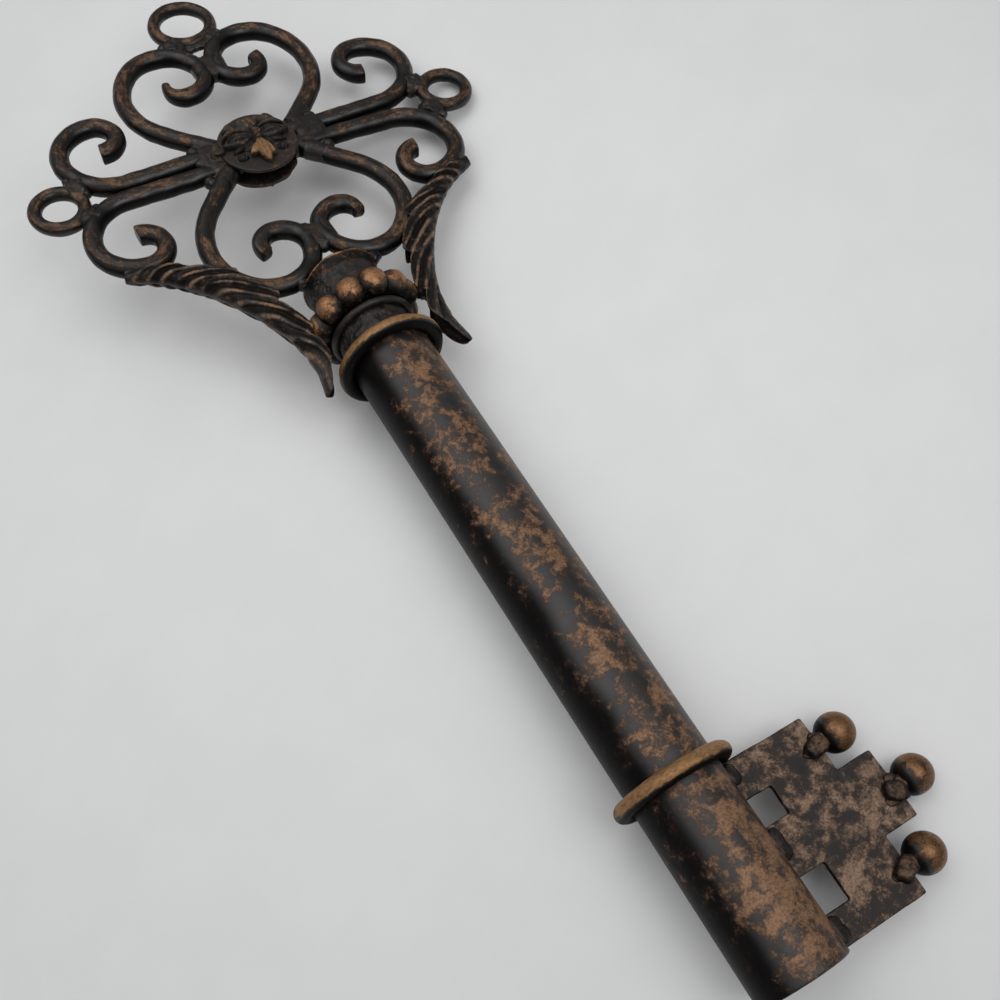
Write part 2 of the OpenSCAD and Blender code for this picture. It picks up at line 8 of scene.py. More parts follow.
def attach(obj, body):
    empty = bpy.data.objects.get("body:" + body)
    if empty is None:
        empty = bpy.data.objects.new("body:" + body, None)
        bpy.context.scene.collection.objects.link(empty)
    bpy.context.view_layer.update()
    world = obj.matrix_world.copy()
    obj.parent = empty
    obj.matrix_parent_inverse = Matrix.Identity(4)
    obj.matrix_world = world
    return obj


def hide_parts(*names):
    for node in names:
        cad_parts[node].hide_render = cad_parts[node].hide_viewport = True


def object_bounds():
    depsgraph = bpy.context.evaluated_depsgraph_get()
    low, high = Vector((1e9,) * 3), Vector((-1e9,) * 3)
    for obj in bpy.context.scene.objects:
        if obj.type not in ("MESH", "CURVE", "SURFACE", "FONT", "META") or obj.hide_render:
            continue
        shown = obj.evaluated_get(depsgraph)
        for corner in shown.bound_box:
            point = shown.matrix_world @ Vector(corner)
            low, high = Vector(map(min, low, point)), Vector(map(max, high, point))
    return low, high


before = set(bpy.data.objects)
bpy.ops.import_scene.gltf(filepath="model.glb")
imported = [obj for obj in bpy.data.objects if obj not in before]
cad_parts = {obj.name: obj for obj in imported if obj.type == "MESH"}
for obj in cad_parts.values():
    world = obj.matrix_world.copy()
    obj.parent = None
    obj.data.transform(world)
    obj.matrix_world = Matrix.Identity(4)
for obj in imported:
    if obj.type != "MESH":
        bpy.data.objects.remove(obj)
cad_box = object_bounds()

# Sizes, in millimetres as in the part's source
MM = 0.001
TUBE_R = 16.7
BORE_R = 15.0
TUBE_L = 270.2
SHAFT_RING_ROD_R = 3.0
PLATE_START = 1.0
STEP_W = 20.7
MID_STEP_W = 25.5
STEP_H = 51.0
MID_STEP_RISE = 14.1
PLATE_T = 2.0
PLATE_END = PLATE_START + 2 * STEP_W + MID_STEP_W
WINDOW_H = 27.8
LOW_WINDOW_EDGE = 11.0
LOW_WINDOW_Y = PLATE_START + LOW_WINDOW_EDGE
LOW_WINDOW_W = 13.3
HIGH_WINDOW_EDGE = 14.0
HIGH_WINDOW_W = 10.4
HIGH_WINDOW_Y = PLATE_END - HIGH_WINDOW_EDGE - HIGH_WINDOW_W
BALL_R = 7.15
BALL_GAP = 0.7
BALL_X = STEP_H + BALL_GAP + BALL_R
MID_BALL_X = BALL_X + MID_STEP_RISE
BALL_EDGE = 10.0
MID_BALL_EDGE = 34.7
BALL_PLACES = {
    "lower": (BALL_X, PLATE_START + BALL_EDGE),
    "middle": (MID_BALL_X, PLATE_END - MID_BALL_EDGE),
    "upper": (BALL_X, PLATE_END - BALL_EDGE),
}
BEAD_R = 6.2
BEAD_CIRCLE_R = 18.1
BEAD_COUNT = 12
BEAD_TURN = 13.0
BEAD_REACH = 20.2
BEAD_Y = TUBE_L + BEAD_REACH
SPIGOT_REACH = 37.8
RIM_Y = TUBE_L + SPIGOT_REACH
RIM_H = 4.3
RIM_FLARE = 1.9
SPIGOT_R = BORE_R + 0.2
SPIGOT_WALL = 1.6
SPIGOT_BORE_R = SPIGOT_R - SPIGOT_WALL
SPIGOT_DEPTH = 34.0
ROD_R = 4.0
BAR_HALF_GAP = 0.7
BAR_Y = ROD_R + BAR_HALF_GAP
BAR_START = 9.0
HEART_SLANT = 46.0
LOBE_HALF_GAP = 0.05
RIM_GAP = 0.5
BOW_LIFT = 4.2
BOW_LEAN = 0.8
UPPER_RING_Y = TUBE_L - SHAFT_RING_ROD_R
LOWER_RING_Y = PLATE_END + SHAFT_RING_ROD_R
RING_ROD_R = 2.9
RING_GAP = 2.2
TOP_RING_R = 12.8
SIDE_RING_R = 10.0
DISC_R = 17.3
DISC_T = 1.6
WELD_R = 3.2

# The key rests on its beads and its middle ball, so it is rolled over towards the bit
ROLL = math.asin((BEAD_CIRCLE_R + BEAD_R - BALL_R) / MID_BALL_X)
LYING = Matrix.Rotation(ROLL, 4, "Y")

# The bends of the scrolls, as (radius, sweep), or (0, length) where they are straight
SIDE_RUNS = [(0, 49.5), (21, 90), (17, 90), (9.2, 90), (8, 70)]
HEART_RUNS = [(0, 26.5), (35, 90 - HEART_SLANT), (28, 45), (19, 45), (17.5, 90), (11.5, 90), (7.3, 105)]
CROWN_RUNS = 4
LOBE_RUNS = 5


def after_run(at, run):
    """Place and heading (x, y, degrees) at the end of one run."""
    x, y, heading = at
    size, sweep = run
    a, b = math.radians(heading), math.radians(heading + sweep)
    if size == 0:
        return (x + sweep * math.cos(a), y + sweep * math.sin(a), heading)
    return (x + size * (math.sin(b) - math.sin(a)), y + size * (math.cos(a) - math.cos(b)), heading + sweep)


def after_runs(runs, at, count):
    for run in runs[:count]:
        at = after_run(at, run)
    return at


SIDE_START = (BAR_START, BAR_Y, 0.0)
LOBE_REACH = after_runs(HEART_RUNS, (0, BAR_Y, HEART_SLANT), LOBE_RUNS)[0]
HEART_START = (ROD_R + LOBE_HALF_GAP - LOBE_REACH, BAR_Y, HEART_SLANT)
HEART_CROWN = after_runs(HEART_RUNS, HEART_START, CROWN_RUNS)
LOBE_Y = after_runs(HEART_RUNS, HEART_START, LOBE_RUNS)[1]
SIDE_BEND = (BAR_START + SIDE_RUNS[0][1], BAR_Y + SIDE_RUNS[1][0])
BOW_Y = RIM_Y + RIM_H + RIM_GAP + ROD_R + HEART_CROWN[1]
# How far the side rings sit off their places, out to the right and away from the shaft
SIDE_RING_OFF = {1: (1.3, 1.1, 0.0), -1: (1.0, 1.4, 0.0)}
LOBE_TO_RING = HEART_RUNS[4][0] + ROD_R + RING_GAP + RING_ROD_R + TOP_RING_R
TOP_RING_Y = LOBE_Y + math.sqrt(LOBE_TO_RING**2 - HEART_CROWN[0] ** 2)
BEND_TO_RING = SIDE_RUNS[1][0] + ROD_R + RING_GAP + RING_ROD_R + SIDE_RING_R
SIDE_RING_X = SIDE_BEND[0] + math.sqrt(BEND_TO_RING**2 - SIDE_BEND[1] ** 2)
ON_BOW = (
    LYING
    @ Matrix.Translation((0, UPPER_RING_Y, 0))
    @ Matrix.Rotation(math.radians(-BOW_LEAN), 4, "Z")
    @ Matrix.Translation((0, BOW_Y - UPPER_RING_Y, BOW_LIFT))
)
WELD_REACH = RING_GAP / 2 + ROD_R
LOBE_SHARE = (HEART_RUNS[4][0] + WELD_REACH) / LOBE_TO_RING
BEND_SHARE = (SIDE_RUNS[1][0] + WELD_REACH) / BEND_TO_RING
# Where the bow is welded, in its upper right quarter
WELD_SPOTS = [
    (0.0, LOBE_Y),
    (HEART_CROWN[0] * (1 - LOBE_SHARE), LOBE_Y + (TOP_RING_Y - LOBE_Y) * LOBE_SHARE),
    (SIDE_BEND[0] + (SIDE_RING_X - SIDE_BEND[0]) * BEND_SHARE, SIDE_BEND[1] * (1 - BEND_SHARE)),
]


def soft_step(x, low, high):
    t = min(1.0, max(0.0, (x - low) / (high - low)))
    return t * t * (3 - 2 * t)


def wobble(p, size, seed=0.0):
    """Smooth noise from -1 to 1 at a place in millimetres, with humps of about that size."""
    return noise.noise(Vector((p[0] + seed, p[1], p[2])) / size)


def clear_of_welds(x, y):
    """From 0 beside a weld of the bow to 1 away from all of them."""
    away = min(math.dist((abs(x), abs(y)), spot) for spot in WELD_SPOTS)
    away = min(away, math.hypot(0.8 * x, 1.2 * y) - 18)
    return soft_step(away, 4.0, 11.0)


def quarter(x, y):
    """Turns the upper right quarter of the bow over into another one."""
    turn = Matrix.Rotation(math.pi if y < 0 else 0, 4, "X")
    return turn @ Matrix.Rotation(math.pi if x < 0 else 0, 4, "Y")


def along_shaft(y):
    return LYING @ Matrix.Translation((0, y, 0)) @ Matrix.Rotation(math.radians(-90), 4, "X")


# Materials


class Net:
    """A material's node tree, with short ways to add to it."""

    def __init__(self, name):
        self.material = bpy.data.materials.new(name)
        self.material.use_nodes = True
        self.tree = self.material.node_tree
        self.shader = self.tree.nodes["Principled BSDF"]
        place = self.tree.nodes.new("ShaderNodeTexCoord")
        self.place = self.scaled(place.outputs["Object"], 1 / MM)

    def put(self, socket, value):
        if isinstance(value, bpy.types.NodeSocket):
            self.tree.links.new(value, socket)
        else:
            socket.default_value = value

    def set(self, name, value):
        self.put(self.shader.inputs[name], value)

    def add(self, kind, inputs=(), **settings):
        node = self.tree.nodes.new(kind)
        for key, value in settings.items():
            setattr(node, key, value)
        for key, value in dict(inputs).items():
            self.put(node.inputs[key], value)
        return node

    def vector(self, operation, a, b):
        return self.add("ShaderNodeVectorMath", {0: a, 1: b}, operation=operation).outputs[0]

    def scaled(self, vector, by):
        return self.vector("MULTIPLY", vector, (by, by, by))

    def math(self, operation, a, b=0.0):
        return self.add("ShaderNodeMath", {0: a, 1: b}, operation=operation).outputs[0]

    def noise(self, vector, size, detail=2.0, roughness=0.5):
        inputs = {"Vector": vector, "Scale": 1 / size, "Detail": detail, "Roughness": roughness}
        return self.add("ShaderNodeTexNoise", inputs).outputs["Fac"]

    def drawn_out(self, vector, turn, stretch):
        """The same place in turned axes, with the pattern drawn out along the first of them."""
        inputs = {"Vector": vector, "Rotation": (0.0, 0.0, math.radians(turn)), "Scale": (stretch, 1.0, 1.0)}
        return self.add("ShaderNodeMapping", inputs, vector_type="TEXTURE").outputs[0]

    def warped(self, vector, size, reach):
        """The same place, moved about by up to the reach by noise of the size."""
        inputs = {"Vector": vector, "Scale": 1 / size, "Detail": 2.0}
        colour = self.add("ShaderNodeTexNoise", inputs).outputs["Color"]
        centred = self.vector("SUBTRACT", colour, (0.5, 0.5, 0.5))
        return self.vector("ADD", vector, self.scaled(centred, 2 * reach))

    def step(self, value, low, high, to_low=0.0, to_high=1.0):
        inputs = {"Value": value, "From Min": low, "From Max": high, "To Min": to_low, "To Max": to_high}
        return self.add("ShaderNodeMapRange", inputs, interpolation_type="SMOOTHSTEP").outputs["Result"]

    def mix(self, share, a, b):
        node = self.add("ShaderNodeMix", data_type="RGBA")
        for key, kind, value in (("Factor", "VALUE", share), ("A", "RGBA", a), ("B", "RGBA", b)):
            self.put([s for s in node.inputs if s.name == key and s.type == kind][0], value)
        return [s for s in node.outputs if s.type == "RGBA"][0]

    def attribute(self, name, output="Fac"):
        return self.add("ShaderNodeAttribute", attribute_name=name).outputs[output]


def linear(r, g, b):
    """A colour written as 0 to 255 in the usual display values, as the shader takes it."""

    def channel(c):
        return ((c / 255 + 0.055) / 1.055) ** 2.4 if c > 10 else c / 255 / 12.92

    return (channel(r), channel(g), channel(b), 1.0)


STRETCH = 2.1
# Colour and spacing of faint pale specks on the bronze: painted glints
GLINT_SPECK = (140, 135, 130)
GLINT_SPECK_PITCH = 5.5


def bronze(name, dark, brown, copper, patch, stroke, cover=-0.085, rub_and_light=0.275, slants=(40, -55), flow=False,
           rough=(0.46, 0.5), metal=0.35, shine=0.45, bump=1.0, wild=1.0, soft=0.0, ragged=0.66):
    """Near-black bronze with soft brown patches and torn copper strokes. The rubbing attribute brings both
    out, and on some pieces it also carries painted highlights and painted shade.

    patch and stroke are the sizes of the patches and strokes. cover brings out more of both everywhere, and
    rub says how much the rub attribute does. wild is the contrast of the patterns, soft and ragged are their
    edges. rough is the roughness where the bronze is dark and where it is copper.
    """
    net = Net(name)
    dark, brown, copper = linear(*dark), linear(*brown), linear(*copper)
    place = net.attribute("flow", "Vector") if flow else net.place
    big = net.noise(net.warped(place, 0.5 * patch, 0.3 * patch), patch, 3.0, 0.55)
    jagged = net.warped(place, 1.2 * stroke, 0.45 * stroke)
    strokes = [net.noise(net.drawn_out(jagged, slant, STRETCH), stroke, 6.0, ragged) for slant in slants]
    blotch = net.noise(net.warped(place, 0.8 * stroke, 0.4 * stroke), 0.75 * stroke, 4.0, 0.62)
    torn = net.math("MAXIMUM", *strokes)
    grain = net.noise(place, 0.8, 3.0, 0.7)
    wiped = net.noise(net.warped(place, 5.0, 3.0), 7.0, 4.0, 0.6)
    veins = net.math("ABSOLUTE", net.math("SUBTRACT", wiped, 0.5))
    veins = net.step(veins, 0.0, 0.026, 0.09, 0.0)
    rubbed = net.attribute("rub_and_light")
    level = net.math("ADD", net.math("MULTIPLY", rubbed, rub_and_light), cover + 0.5)
    for pattern, share in ((big, 0.5), (torn, 1.0), (blotch, 0.7), (grain, 0.22)):
        level = net.math("ADD", level, net.math("MULTIPLY", net.math("SUBTRACT", pattern, 0.5), share * wild))
    level = net.math("ADD", level, veins)
    browned = net.step(level, 0.34 - soft, 0.63 + soft)
    coppered = net.step(level, 0.52 - soft, 0.8 + soft)
    shade = net.noise(place, 9.0, 4.0, 0.6)
    colour = net.mix(net.step(shade, 0.35, 0.7), dark, tuple(0.6 * c for c in dark[:3]) + (1.0,))
    colour = net.mix(net.math("MULTIPLY", browned, net.step(blotch, 0.38, 0.6, 0.55, 1.0)), colour, brown)
    colour = net.mix(net.math("MULTIPLY", coppered, net.step(grain, 0.3, 0.65, 0.45, 1.0)), colour, copper)
    # Faint pale specks mixed into the colour: painted glints
    spots = net.add("ShaderNodeTexVoronoi", {"Vector": place, "Scale": 1 / GLINT_SPECK_PITCH, "Randomness": 1.0})
    glint_specks = net.math("LESS_THAN", spots.outputs["Distance"], net.step(grain, 0.55, 0.75, 0.0, 0.05))
    net.set("Base Color", net.mix(net.math("MULTIPLY", glint_specks, 0.25), colour, linear(*GLINT_SPECK)))
    net.set("Metallic", net.step(level, 0.5, 0.72, 0.0, metal))
    roughness = net.step(coppered, 0.0, 1.0, *rough)
    net.set("Roughness", net.math("ADD", roughness, net.math("MULTIPLY", grain, 0.1)))
    gloss = net.step(browned, 0.0, 1.0, shine, 0.5 * shine)
    # Painted shade: where the rubbing attribute is low, in crevices and on undersides, the specular level is
    # cut down so the hollows go dark
    net.set("Specular IOR Level", net.math("MULTIPLY", gloss, net.step(rubbed, -0.7, 0.1, 0.15, 1.0)))
    height = net.math("ADD", net.math("MULTIPLY", torn, 0.6), net.math("MULTIPLY", grain, 0.25))
    relief = net.add("ShaderNodeBump", {"Height": height, "Strength": 0.3 * bump, "Distance": 0.25 * MM})
    net.set("Normal", relief.outputs["Normal"])
    return net.material


DARK = (12, 10, 9)
ALONG = (12, -14)
MATERIALS = {
    "tube": bronze(
        "mottled_bronze_tube", (17, 14, 13), (62, 47, 39), (156, 119, 90), 18.0, 5.4, cover=-0.08, rub_and_light=0.28,
        rough=(0.4, 0.5), shine=0.8, bump=1.4, wild=1.5, soft=0.05, ragged=0.58,
    ),
    "plate": bronze(
        "mottled_bronze_plate", (30, 25, 24), (74, 60, 52), (162, 133, 111), 15.0, 7.0, cover=-0.06, rub_and_light=0.14,
        rough=(0.58, 0.6), metal=0.15, shine=0.5, bump=1.5, wild=1.4, soft=0.05, ragged=0.6,
    ),
    "rod": bronze(
        "scroll_bronze", DARK, (38, 29, 24), (124, 94, 71), 10.0, 3.0, cover=-0.14, rub_and_light=0.3, slants=ALONG,
        flow=True, rough=(0.29, 0.4), metal=0.3, shine=0.6,
    ),
    "ring": bronze(
        "rubbed_copper_ring", DARK, (66, 50, 37), (172, 130, 88), 8.0, 3.4, cover=-0.05, rub_and_light=0.3,
        slants=ALONG, flow=True, metal=0.5, shine=0.6,
    ),
    "bead": bronze(
        "rubbed_copper_bead", DARK, (78, 57, 42), (176, 128, 90), 6.0, 3.0, cover=-0.03, rub_and_light=0.3,
        rough=(0.42, 0.38), metal=0.55, shine=0.6, bump=1.5,
    ),
    "ball": bronze(
        "rubbed_copper_ball", DARK, (58, 43, 33), (144, 106, 73), 6.0, 4.0, cover=-0.04, rub_and_light=0.3,
        rough=(0.4, 0.36), metal=0.7, shine=0.8, bump=1.2,
    ),
    "leaf": bronze(
        "rubbed_leaf", (27, 23, 21), (72, 59, 50), (146, 114, 88), 7.0, 2.2, cover=-0.06,
        rough=(0.38, 0.44), metal=0.3, shine=0.6, soft=0.03,
    ),
    "relief": bronze(
        "rubbed_relief", (14, 12, 11), (62, 49, 40), (158, 120, 84), 6.0, 1.8, cover=-0.06, rub_and_light=0.4,
        metal=0.3, shine=0.6,
    ),
    "weld": bronze(
        "blackened_weld", DARK, (32, 27, 24), (66, 53, 43), 5.0, 2.4, cover=-0.1,
        rough=(0.34, 0.42), metal=0.2, shine=0.7, bump=2.5,
    ),
    "stem": bronze(
        "browned_weld", (22, 18, 16), (62, 50, 42), (112, 88, 71), 5.0, 3.0, cover=-0.03,
        metal=0.2, shine=0.4, bump=2.5,
    ),
    "dark": bronze(
        "dark_bronze", (22, 19, 17), (52, 42, 36), (104, 81, 64), 7.0, 2.6,
        rough=(0.44, 0.46), metal=0.3, shine=0.6, bump=1.6,
    ),
}


# Ways to make a piece


def finished(name, verts, faces, look, nodes, rub_and_light, flow=None):
    """A piece from points in millimetres, with its material and the nodes that it stands for.

    The rubbing values say how far each point is rubbed, and on some pieces where highlights and shade are
    painted; flow, where given, each point's place along and around a rod.
    """
    mesh = bpy.data.meshes.new(name)
    mesh.from_pydata([Vector(v) * MM for v in verts], [], faces)
    mesh.update()
    for polygon in mesh.polygons:
        polygon.use_smooth = True
    layer = mesh.attributes.new("rub_and_light", "FLOAT", "POINT")
    layer.data.foreach_set("value", rub_and_light)
    if flow is not None:
        layer = mesh.attributes.new("flow", "FLOAT_VECTOR", "POINT")
        layer.data.foreach_set("vector", [c for place in flow for c in place])
    piece = bpy.data.objects.new(name, mesh)
    bpy.context.scene.collection.objects.link(piece)
    mesh.materials.append(MATERIALS[look])
    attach(piece, "root")
    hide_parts(*nodes)
    return piece


def grid_faces(rows, columns, closed_rows=False, closed_columns=True, first=0):
    """Faces of a grid of points kept row by row."""
    faces = []
    for i in range(rows if closed_rows else rows - 1):
        for j in range(columns if closed_columns else columns - 1):
            a, b = i * columns + j, i * columns + (j + 1) % columns
            c, d = ((i + 1) % rows) * columns + (j + 1) % columns, ((i + 1) % rows) * columns + j
            faces.append((first + a, first + b, first + c, first + d))
    return faces


def capped_faces(rows, columns):
    """Faces of a closed tube of points, row by row, with a flat face at either end."""
    last = (rows - 1) * columns
    return grid_faces(rows, columns) + [tuple(reversed(range(columns))), tuple(range(last, last + columns))]


def lathe(matrix, profile, steps, shape=None):
    """Points and faces of a closed profile of (radius, height) turned about +Z.

    shape moves a point outwards and up.
    """
    verts = []
    for radius, height in profile:
        for j in range(steps):
            a = 2 * math.pi * j / steps
            out, up = shape(radius, height, a) if shape else (0.0, 0.0)
            r = radius + out
            verts.append(matrix @ Vector((r * math.cos(a), r * math.sin(a), height + up)))
    return verts, grid_faces(len(profile), steps, closed_rows=True)


def turned(name, node, look, matrix, profile, steps, rubbed, shape=None):
    """A turned piece. rubbed gives the rubbing at a radius, a height and a step of the turn."""
    verts, faces = lathe(matrix, profile, steps, shape)
    rub_and_light = [rubbed(radius, height, j) for radius, height in profile for j in range(steps)]
    return finished(name, verts, faces, look, [node], rub_and_light)


def spaced(points, step):
    """An open profile with more points, no further apart than step."""
    out = []
    for a, b in zip(points, points[1:]):
        count = max(1, math.ceil(math.dist(a, b) / step))
        out += [tuple(a[k] + (b[k] - a[k]) * i / count for k in range(len(a))) for i in range(count)]
    return out + [points[-1]]


def arc(centre, radius, start, end, steps):
    """Points of a round corner, in degrees."""
    turns = [math.radians(start + (end - start) * i / steps) for i in range(steps + 1)]
    return [(centre[0] + radius * math.cos(t), centre[1] + radius * math.sin(t)) for t in turns]


def faces_up(a, out, up):
    return 0.7 * soft_step(up, 0.1, 0.9) - 0.35 * soft_step(-out, 0.3, 1.0)


def torus(name, node, look, matrix, centre_r, rod_r, seed, lump=0.12, rubbed=faces_up):
    """A hand-bent and welded ring of rod.

    rubbed gives the rubbing from the angle and from the outward and the upward share of a spot.
    """
    verts, rub_and_light, flow = [], [], []
    steps, around = 180, 28
    for i in range(steps):
        a = 2 * math.pi * i / steps
        place = Vector((centre_r * math.cos(a), centre_r * math.sin(a), 0))
        bend = 0.5 * lump * wobble(place, 14.0, seed)
        for j in range(around):
            b = 2 * math.pi * j / around
            out, up = math.cos(b), math.sin(b)
            r = rod_r + lump * wobble(place + Vector((out, up, 0)) * rod_r, 4.5, seed + 40)
            reach = centre_r + bend + r * out
            verts.append(matrix @ Vector((reach * math.cos(a), reach * math.sin(a), r * up)))
            rub_and_light.append(rubbed(a, out, up))
            flow.append((a * centre_r / 2 + 7 * seed, rod_r * out, rod_r * up))
    return finished(name, verts, grid_faces(steps, around, closed_rows=True), look, [node], rub_and_light, flow)


def remeshed(node, parts, look, voxel=0.35, smooth=4, rough=0.0, rough_size=2.0, rub_and_light=None):
    """The dressed form of a node as one fused lump of overlapping closed parts, each (points, faces)."""
    name = node + "_dressed"
    verts, faces = [], []
    for part_verts, part_faces in parts:
        first = len(verts)
        verts += [Vector(v) for v in part_verts]
        faces += [tuple(first + i for i in face) for face in part_faces]
    mesh = bpy.data.meshes.new(name + "_source")
    mesh.from_pydata(verts, [], faces)
    source = bpy.data.objects.new(name + "_source", mesh)
    bpy.context.scene.collection.objects.link(source)
    remesh = source.modifiers.new("remesh", "REMESH")
    remesh.mode = "VOXEL"
    remesh.voxel_size = voxel
    smoothing = source.modifiers.new("smooth", "SMOOTH")
    smoothing.factor = 0.5
    smoothing.iterations = smooth
    depsgraph = bpy.context.evaluated_depsgraph_get()
    made = bpy.data.meshes.new_from_object(source.evaluated_get(depsgraph))
    bpy.data.objects.remove(source)
    points = [v.co.copy() for v in made.vertices]
    if rough:
        normals = [v.normal.copy() for v in made.vertices]
        points = [
            p + n * rough * (wobble(p, rough_size, 5.0) + 0.5 * wobble(p, 0.45 * rough_size, 15.0))
            for p, n in zip(points, normals)
        ]
    polygons = [tuple(p.vertices) for p in made.polygons]
    values = [rub_and_light(p, v.normal) for p, v in zip(points, made.vertices)] if rub_and_light else [0.0] * len(points)
    return finished(name, points, polygons, look, [node], values)


def egg(matrix, centre, sizes, turn=(0, 0, 0), rows=12, columns=20, square=(2.0, 2.0)):
    """Points and faces of a closed egg shape with three half sizes.

    square says how boxy it is in plan and in height.
    """
    spin = Euler([math.radians(t) for t in turn]).to_matrix()
    centre = Vector(centre)

    def bulged(value, power):
        return math.copysign(abs(value) ** (2 / power), value)

    verts = []
    for i in range(1, rows):
        v = math.pi * i / rows
        out, up = bulged(math.sin(v), square[1]), bulged(math.cos(v), square[1])
        for j in range(columns):
            u = 2 * math.pi * j / columns
            x, y = bulged(math.cos(u), square[0]), bulged(math.sin(u), square[0])
            spot = Vector((sizes[0] * out * x, sizes[1] * out * y, sizes[2] * up))
            verts.append(matrix @ (centre + spin @ spot))
    faces = grid_faces(rows - 1, columns)
    top, bottom = len(verts), len(verts) + 1
    pole = spin @ Vector((0, 0, sizes[2]))
    verts += [matrix @ (centre + pole), matrix @ (centre - pole)]
    last = (rows - 2) * columns
    for j in range(columns):
        k = (j + 1) % columns
        faces += [(top, k, j), (bottom, last + j, last + k)]
    return verts, [tuple(reversed(f)) for f in faces]


def stub(matrix, start, end, r_start, r_end):
    """Points and faces of a closed round stub with ends of their own radii."""
    steps, columns = 8, 20
    start, end = Vector(start), Vector(end)
    axis = (end - start).normalized()
    side = axis.orthogonal().normalized()
    other = axis.cross(side)
    verts = []
    for i in range(steps + 1):
        r = r_start + (r_end - r_start) * i / steps
        centre = start.lerp(end, i / steps)
        for j in range(columns):
            u = 2 * math.pi * j / columns
            verts.append(matrix @ (centre + (side * math.cos(u) + other * math.sin(u)) * r))
    return verts, capped_faces(steps + 1, columns)


# The shaft and its collar


def shaft_tube():
    """The tube, with copper patches rubbed where hands and cloth have passed, and painted shade on its side
    turned away from the lamp.
    """
    edge, around = 0.9, 200
    profile = spaced([(BORE_R, 0.4), (BORE_R, TUBE_L)], 4.0)
    profile += spaced([(BORE_R, TUBE_L), (TUBE_R, TUBE_L)], 1.0)[1:]
    profile += spaced([(TUBE_R, TUBE_L), (TUBE_R, edge)], 1.2)[1:]
    profile += arc((TUBE_R - edge, edge), edge, 0, -80, 6)[1:]
    profile += [(BORE_R + 0.3, 0.02)]
    # Distance of each patch along the shaft, its degrees round it from the bit to the top, its reach along
    # and round, and its weight
    patches = [
        (243, 92, 17, 34, 0.9), (222, 120, 14, 24, 0.35), (196, 124, 15, 22, 0.35), (170, 100, 18, 30, 0.45),
        (156, 62, 13, 24, 0.4), (132, 88, 12, 24, 0.4), (118, 104, 12, 22, 0.45), (96, 56, 14, 20, 0.3),
        (88, 116, 12, 18, 0.3), (52, 88, 17, 26, 0.6), (36, 74, 17, 34, 0.75), (20, 60, 15, 34, 0.75),
        (40, 40, 15, 18, 0.6), (12, 108, 11, 26, 0.4), (10, 40, 12, 24, 0.6), (60, 48, 14, 14, 0.5),
    ]

    def rubbed(radius, height, j):
        turn = -360.0 * j / around % 360
        total = 0.0
        for y, at, along, reach, weight in patches:
            off = (turn - at + 180) % 360 - 180
            total += weight * math.exp(-(((height - y) / along) ** 2) - (off / reach) ** 2)
        spread = wobble((radius * math.cos(j / 30), height, 0), 22.0, 7.0)
        # Painted shade: away from the upper right, which faces the lamp, the copper is taken out and the tube
        # painted dark
        shaded_side = soft_step(-math.cos(math.radians(turn - 68)), -0.85, -0.1)
        return 0.7 * min(1.15, total) + 0.25 * spread + 0.05 - 1.1 * shaded_side

    turned("shaft_tube_dressed", "shaft_tube", "tube", along_shaft(0), profile, around, rubbed)


def head_spigot():
    """The collar's tube, rough with weld metal where it shows above the shaft."""
    start = TUBE_L - SPIGOT_DEPTH
    length = RIM_Y - start
    hidden_r = SPIGOT_R - 0.02

    def rough(radius, height, a):
        if radius < SPIGOT_R - 0.1 or height < SPIGOT_DEPTH + 1:
            return 0.0, 0.0
        p = (radius * math.cos(a), radius * math.sin(a), height)
        left = -math.cos(a)
        crusted = soft_step(left, 0.1, 0.8) * soft_step(height, SPIGOT_DEPTH + 22, SPIGOT_DEPTH + 26)
        below = 1 - soft_step(height, SPIGOT_DEPTH + 12, SPIGOT_DEPTH + 16)
        crusted += 0.6 * soft_step(left, 0.3, 0.9) * below
        spatter = 0.9 * max(0.0, wobble(p, 1.4, 13.0)) + 0.7 * max(0.0, wobble(p, 0.7, 19.0))
        return 0.25 + 0.4 * wobble(p, 2.2, 3.0) + 0.3 * wobble(p, 0.9, 9.0) + crusted * spatter, 0.0

    def rubbed(radius, height, j):
        near_rim = soft_step(height, SPIGOT_DEPTH + 28, SPIGOT_DEPTH + 32)
        return 0.2 * near_rim + 0.4 * wobble((9 * j / 35, 0, height), 3.0) - 0.15

    profile = [(SPIGOT_BORE_R, 0.0), (hidden_r, 0.0)]
    profile += spaced([(hidden_r, SPIGOT_DEPTH - 1), (SPIGOT_R, length)], 0.5)
    profile += spaced([(SPIGOT_BORE_R, length), (SPIGOT_BORE_R, 0.2)], 4.0)
    turned("head_spigot_dressed", "head_spigot", "dark", along_shaft(start), profile, 220, rubbed, rough)


def collar_rim():
    """The collar's thin flared lip, dented and rubbed bright along its top."""
    lip_r = SPIGOT_R + RIM_FLARE

    def dented(radius, height, a):
        share = height / RIM_H
        p = (12 * math.cos(a), 12 * math.sin(a), height)
        return share * 0.5 * wobble(p, 7.0, 21.0), -share * 0.5 * (0.5 + wobble(p, 5.0, 31.0))

    def rubbed(radius, height, j):
        return 1.2 * soft_step(height, RIM_H - 1.0, RIM_H - 0.3) - 0.45

    outer = [
        (SPIGOT_R - 0.2, -1.5), (SPIGOT_R + 0.3, 1.0), (SPIGOT_R + 0.9, 2.6), (lip_r - 0.15, RIM_H - 0.3),
    ]
    lip = [(lip_r - 0.3, RIM_H), (lip_r - 0.9, RIM_H)]
    inner = [
        (lip_r - 1.3, RIM_H - 0.4), (SPIGOT_R - 0.9, 2.4), (SPIGOT_R + 0.1, 0.8), (SPIGOT_BORE_R - 0.1, -1.5),
    ]
    profile = spaced(outer, 0.4) + lip + spaced(inner, 0.5)
    turned("collar_rim_dressed", "collar_rim", "bead", along_shaft(RIM_Y), profile, 200, rubbed, dented)


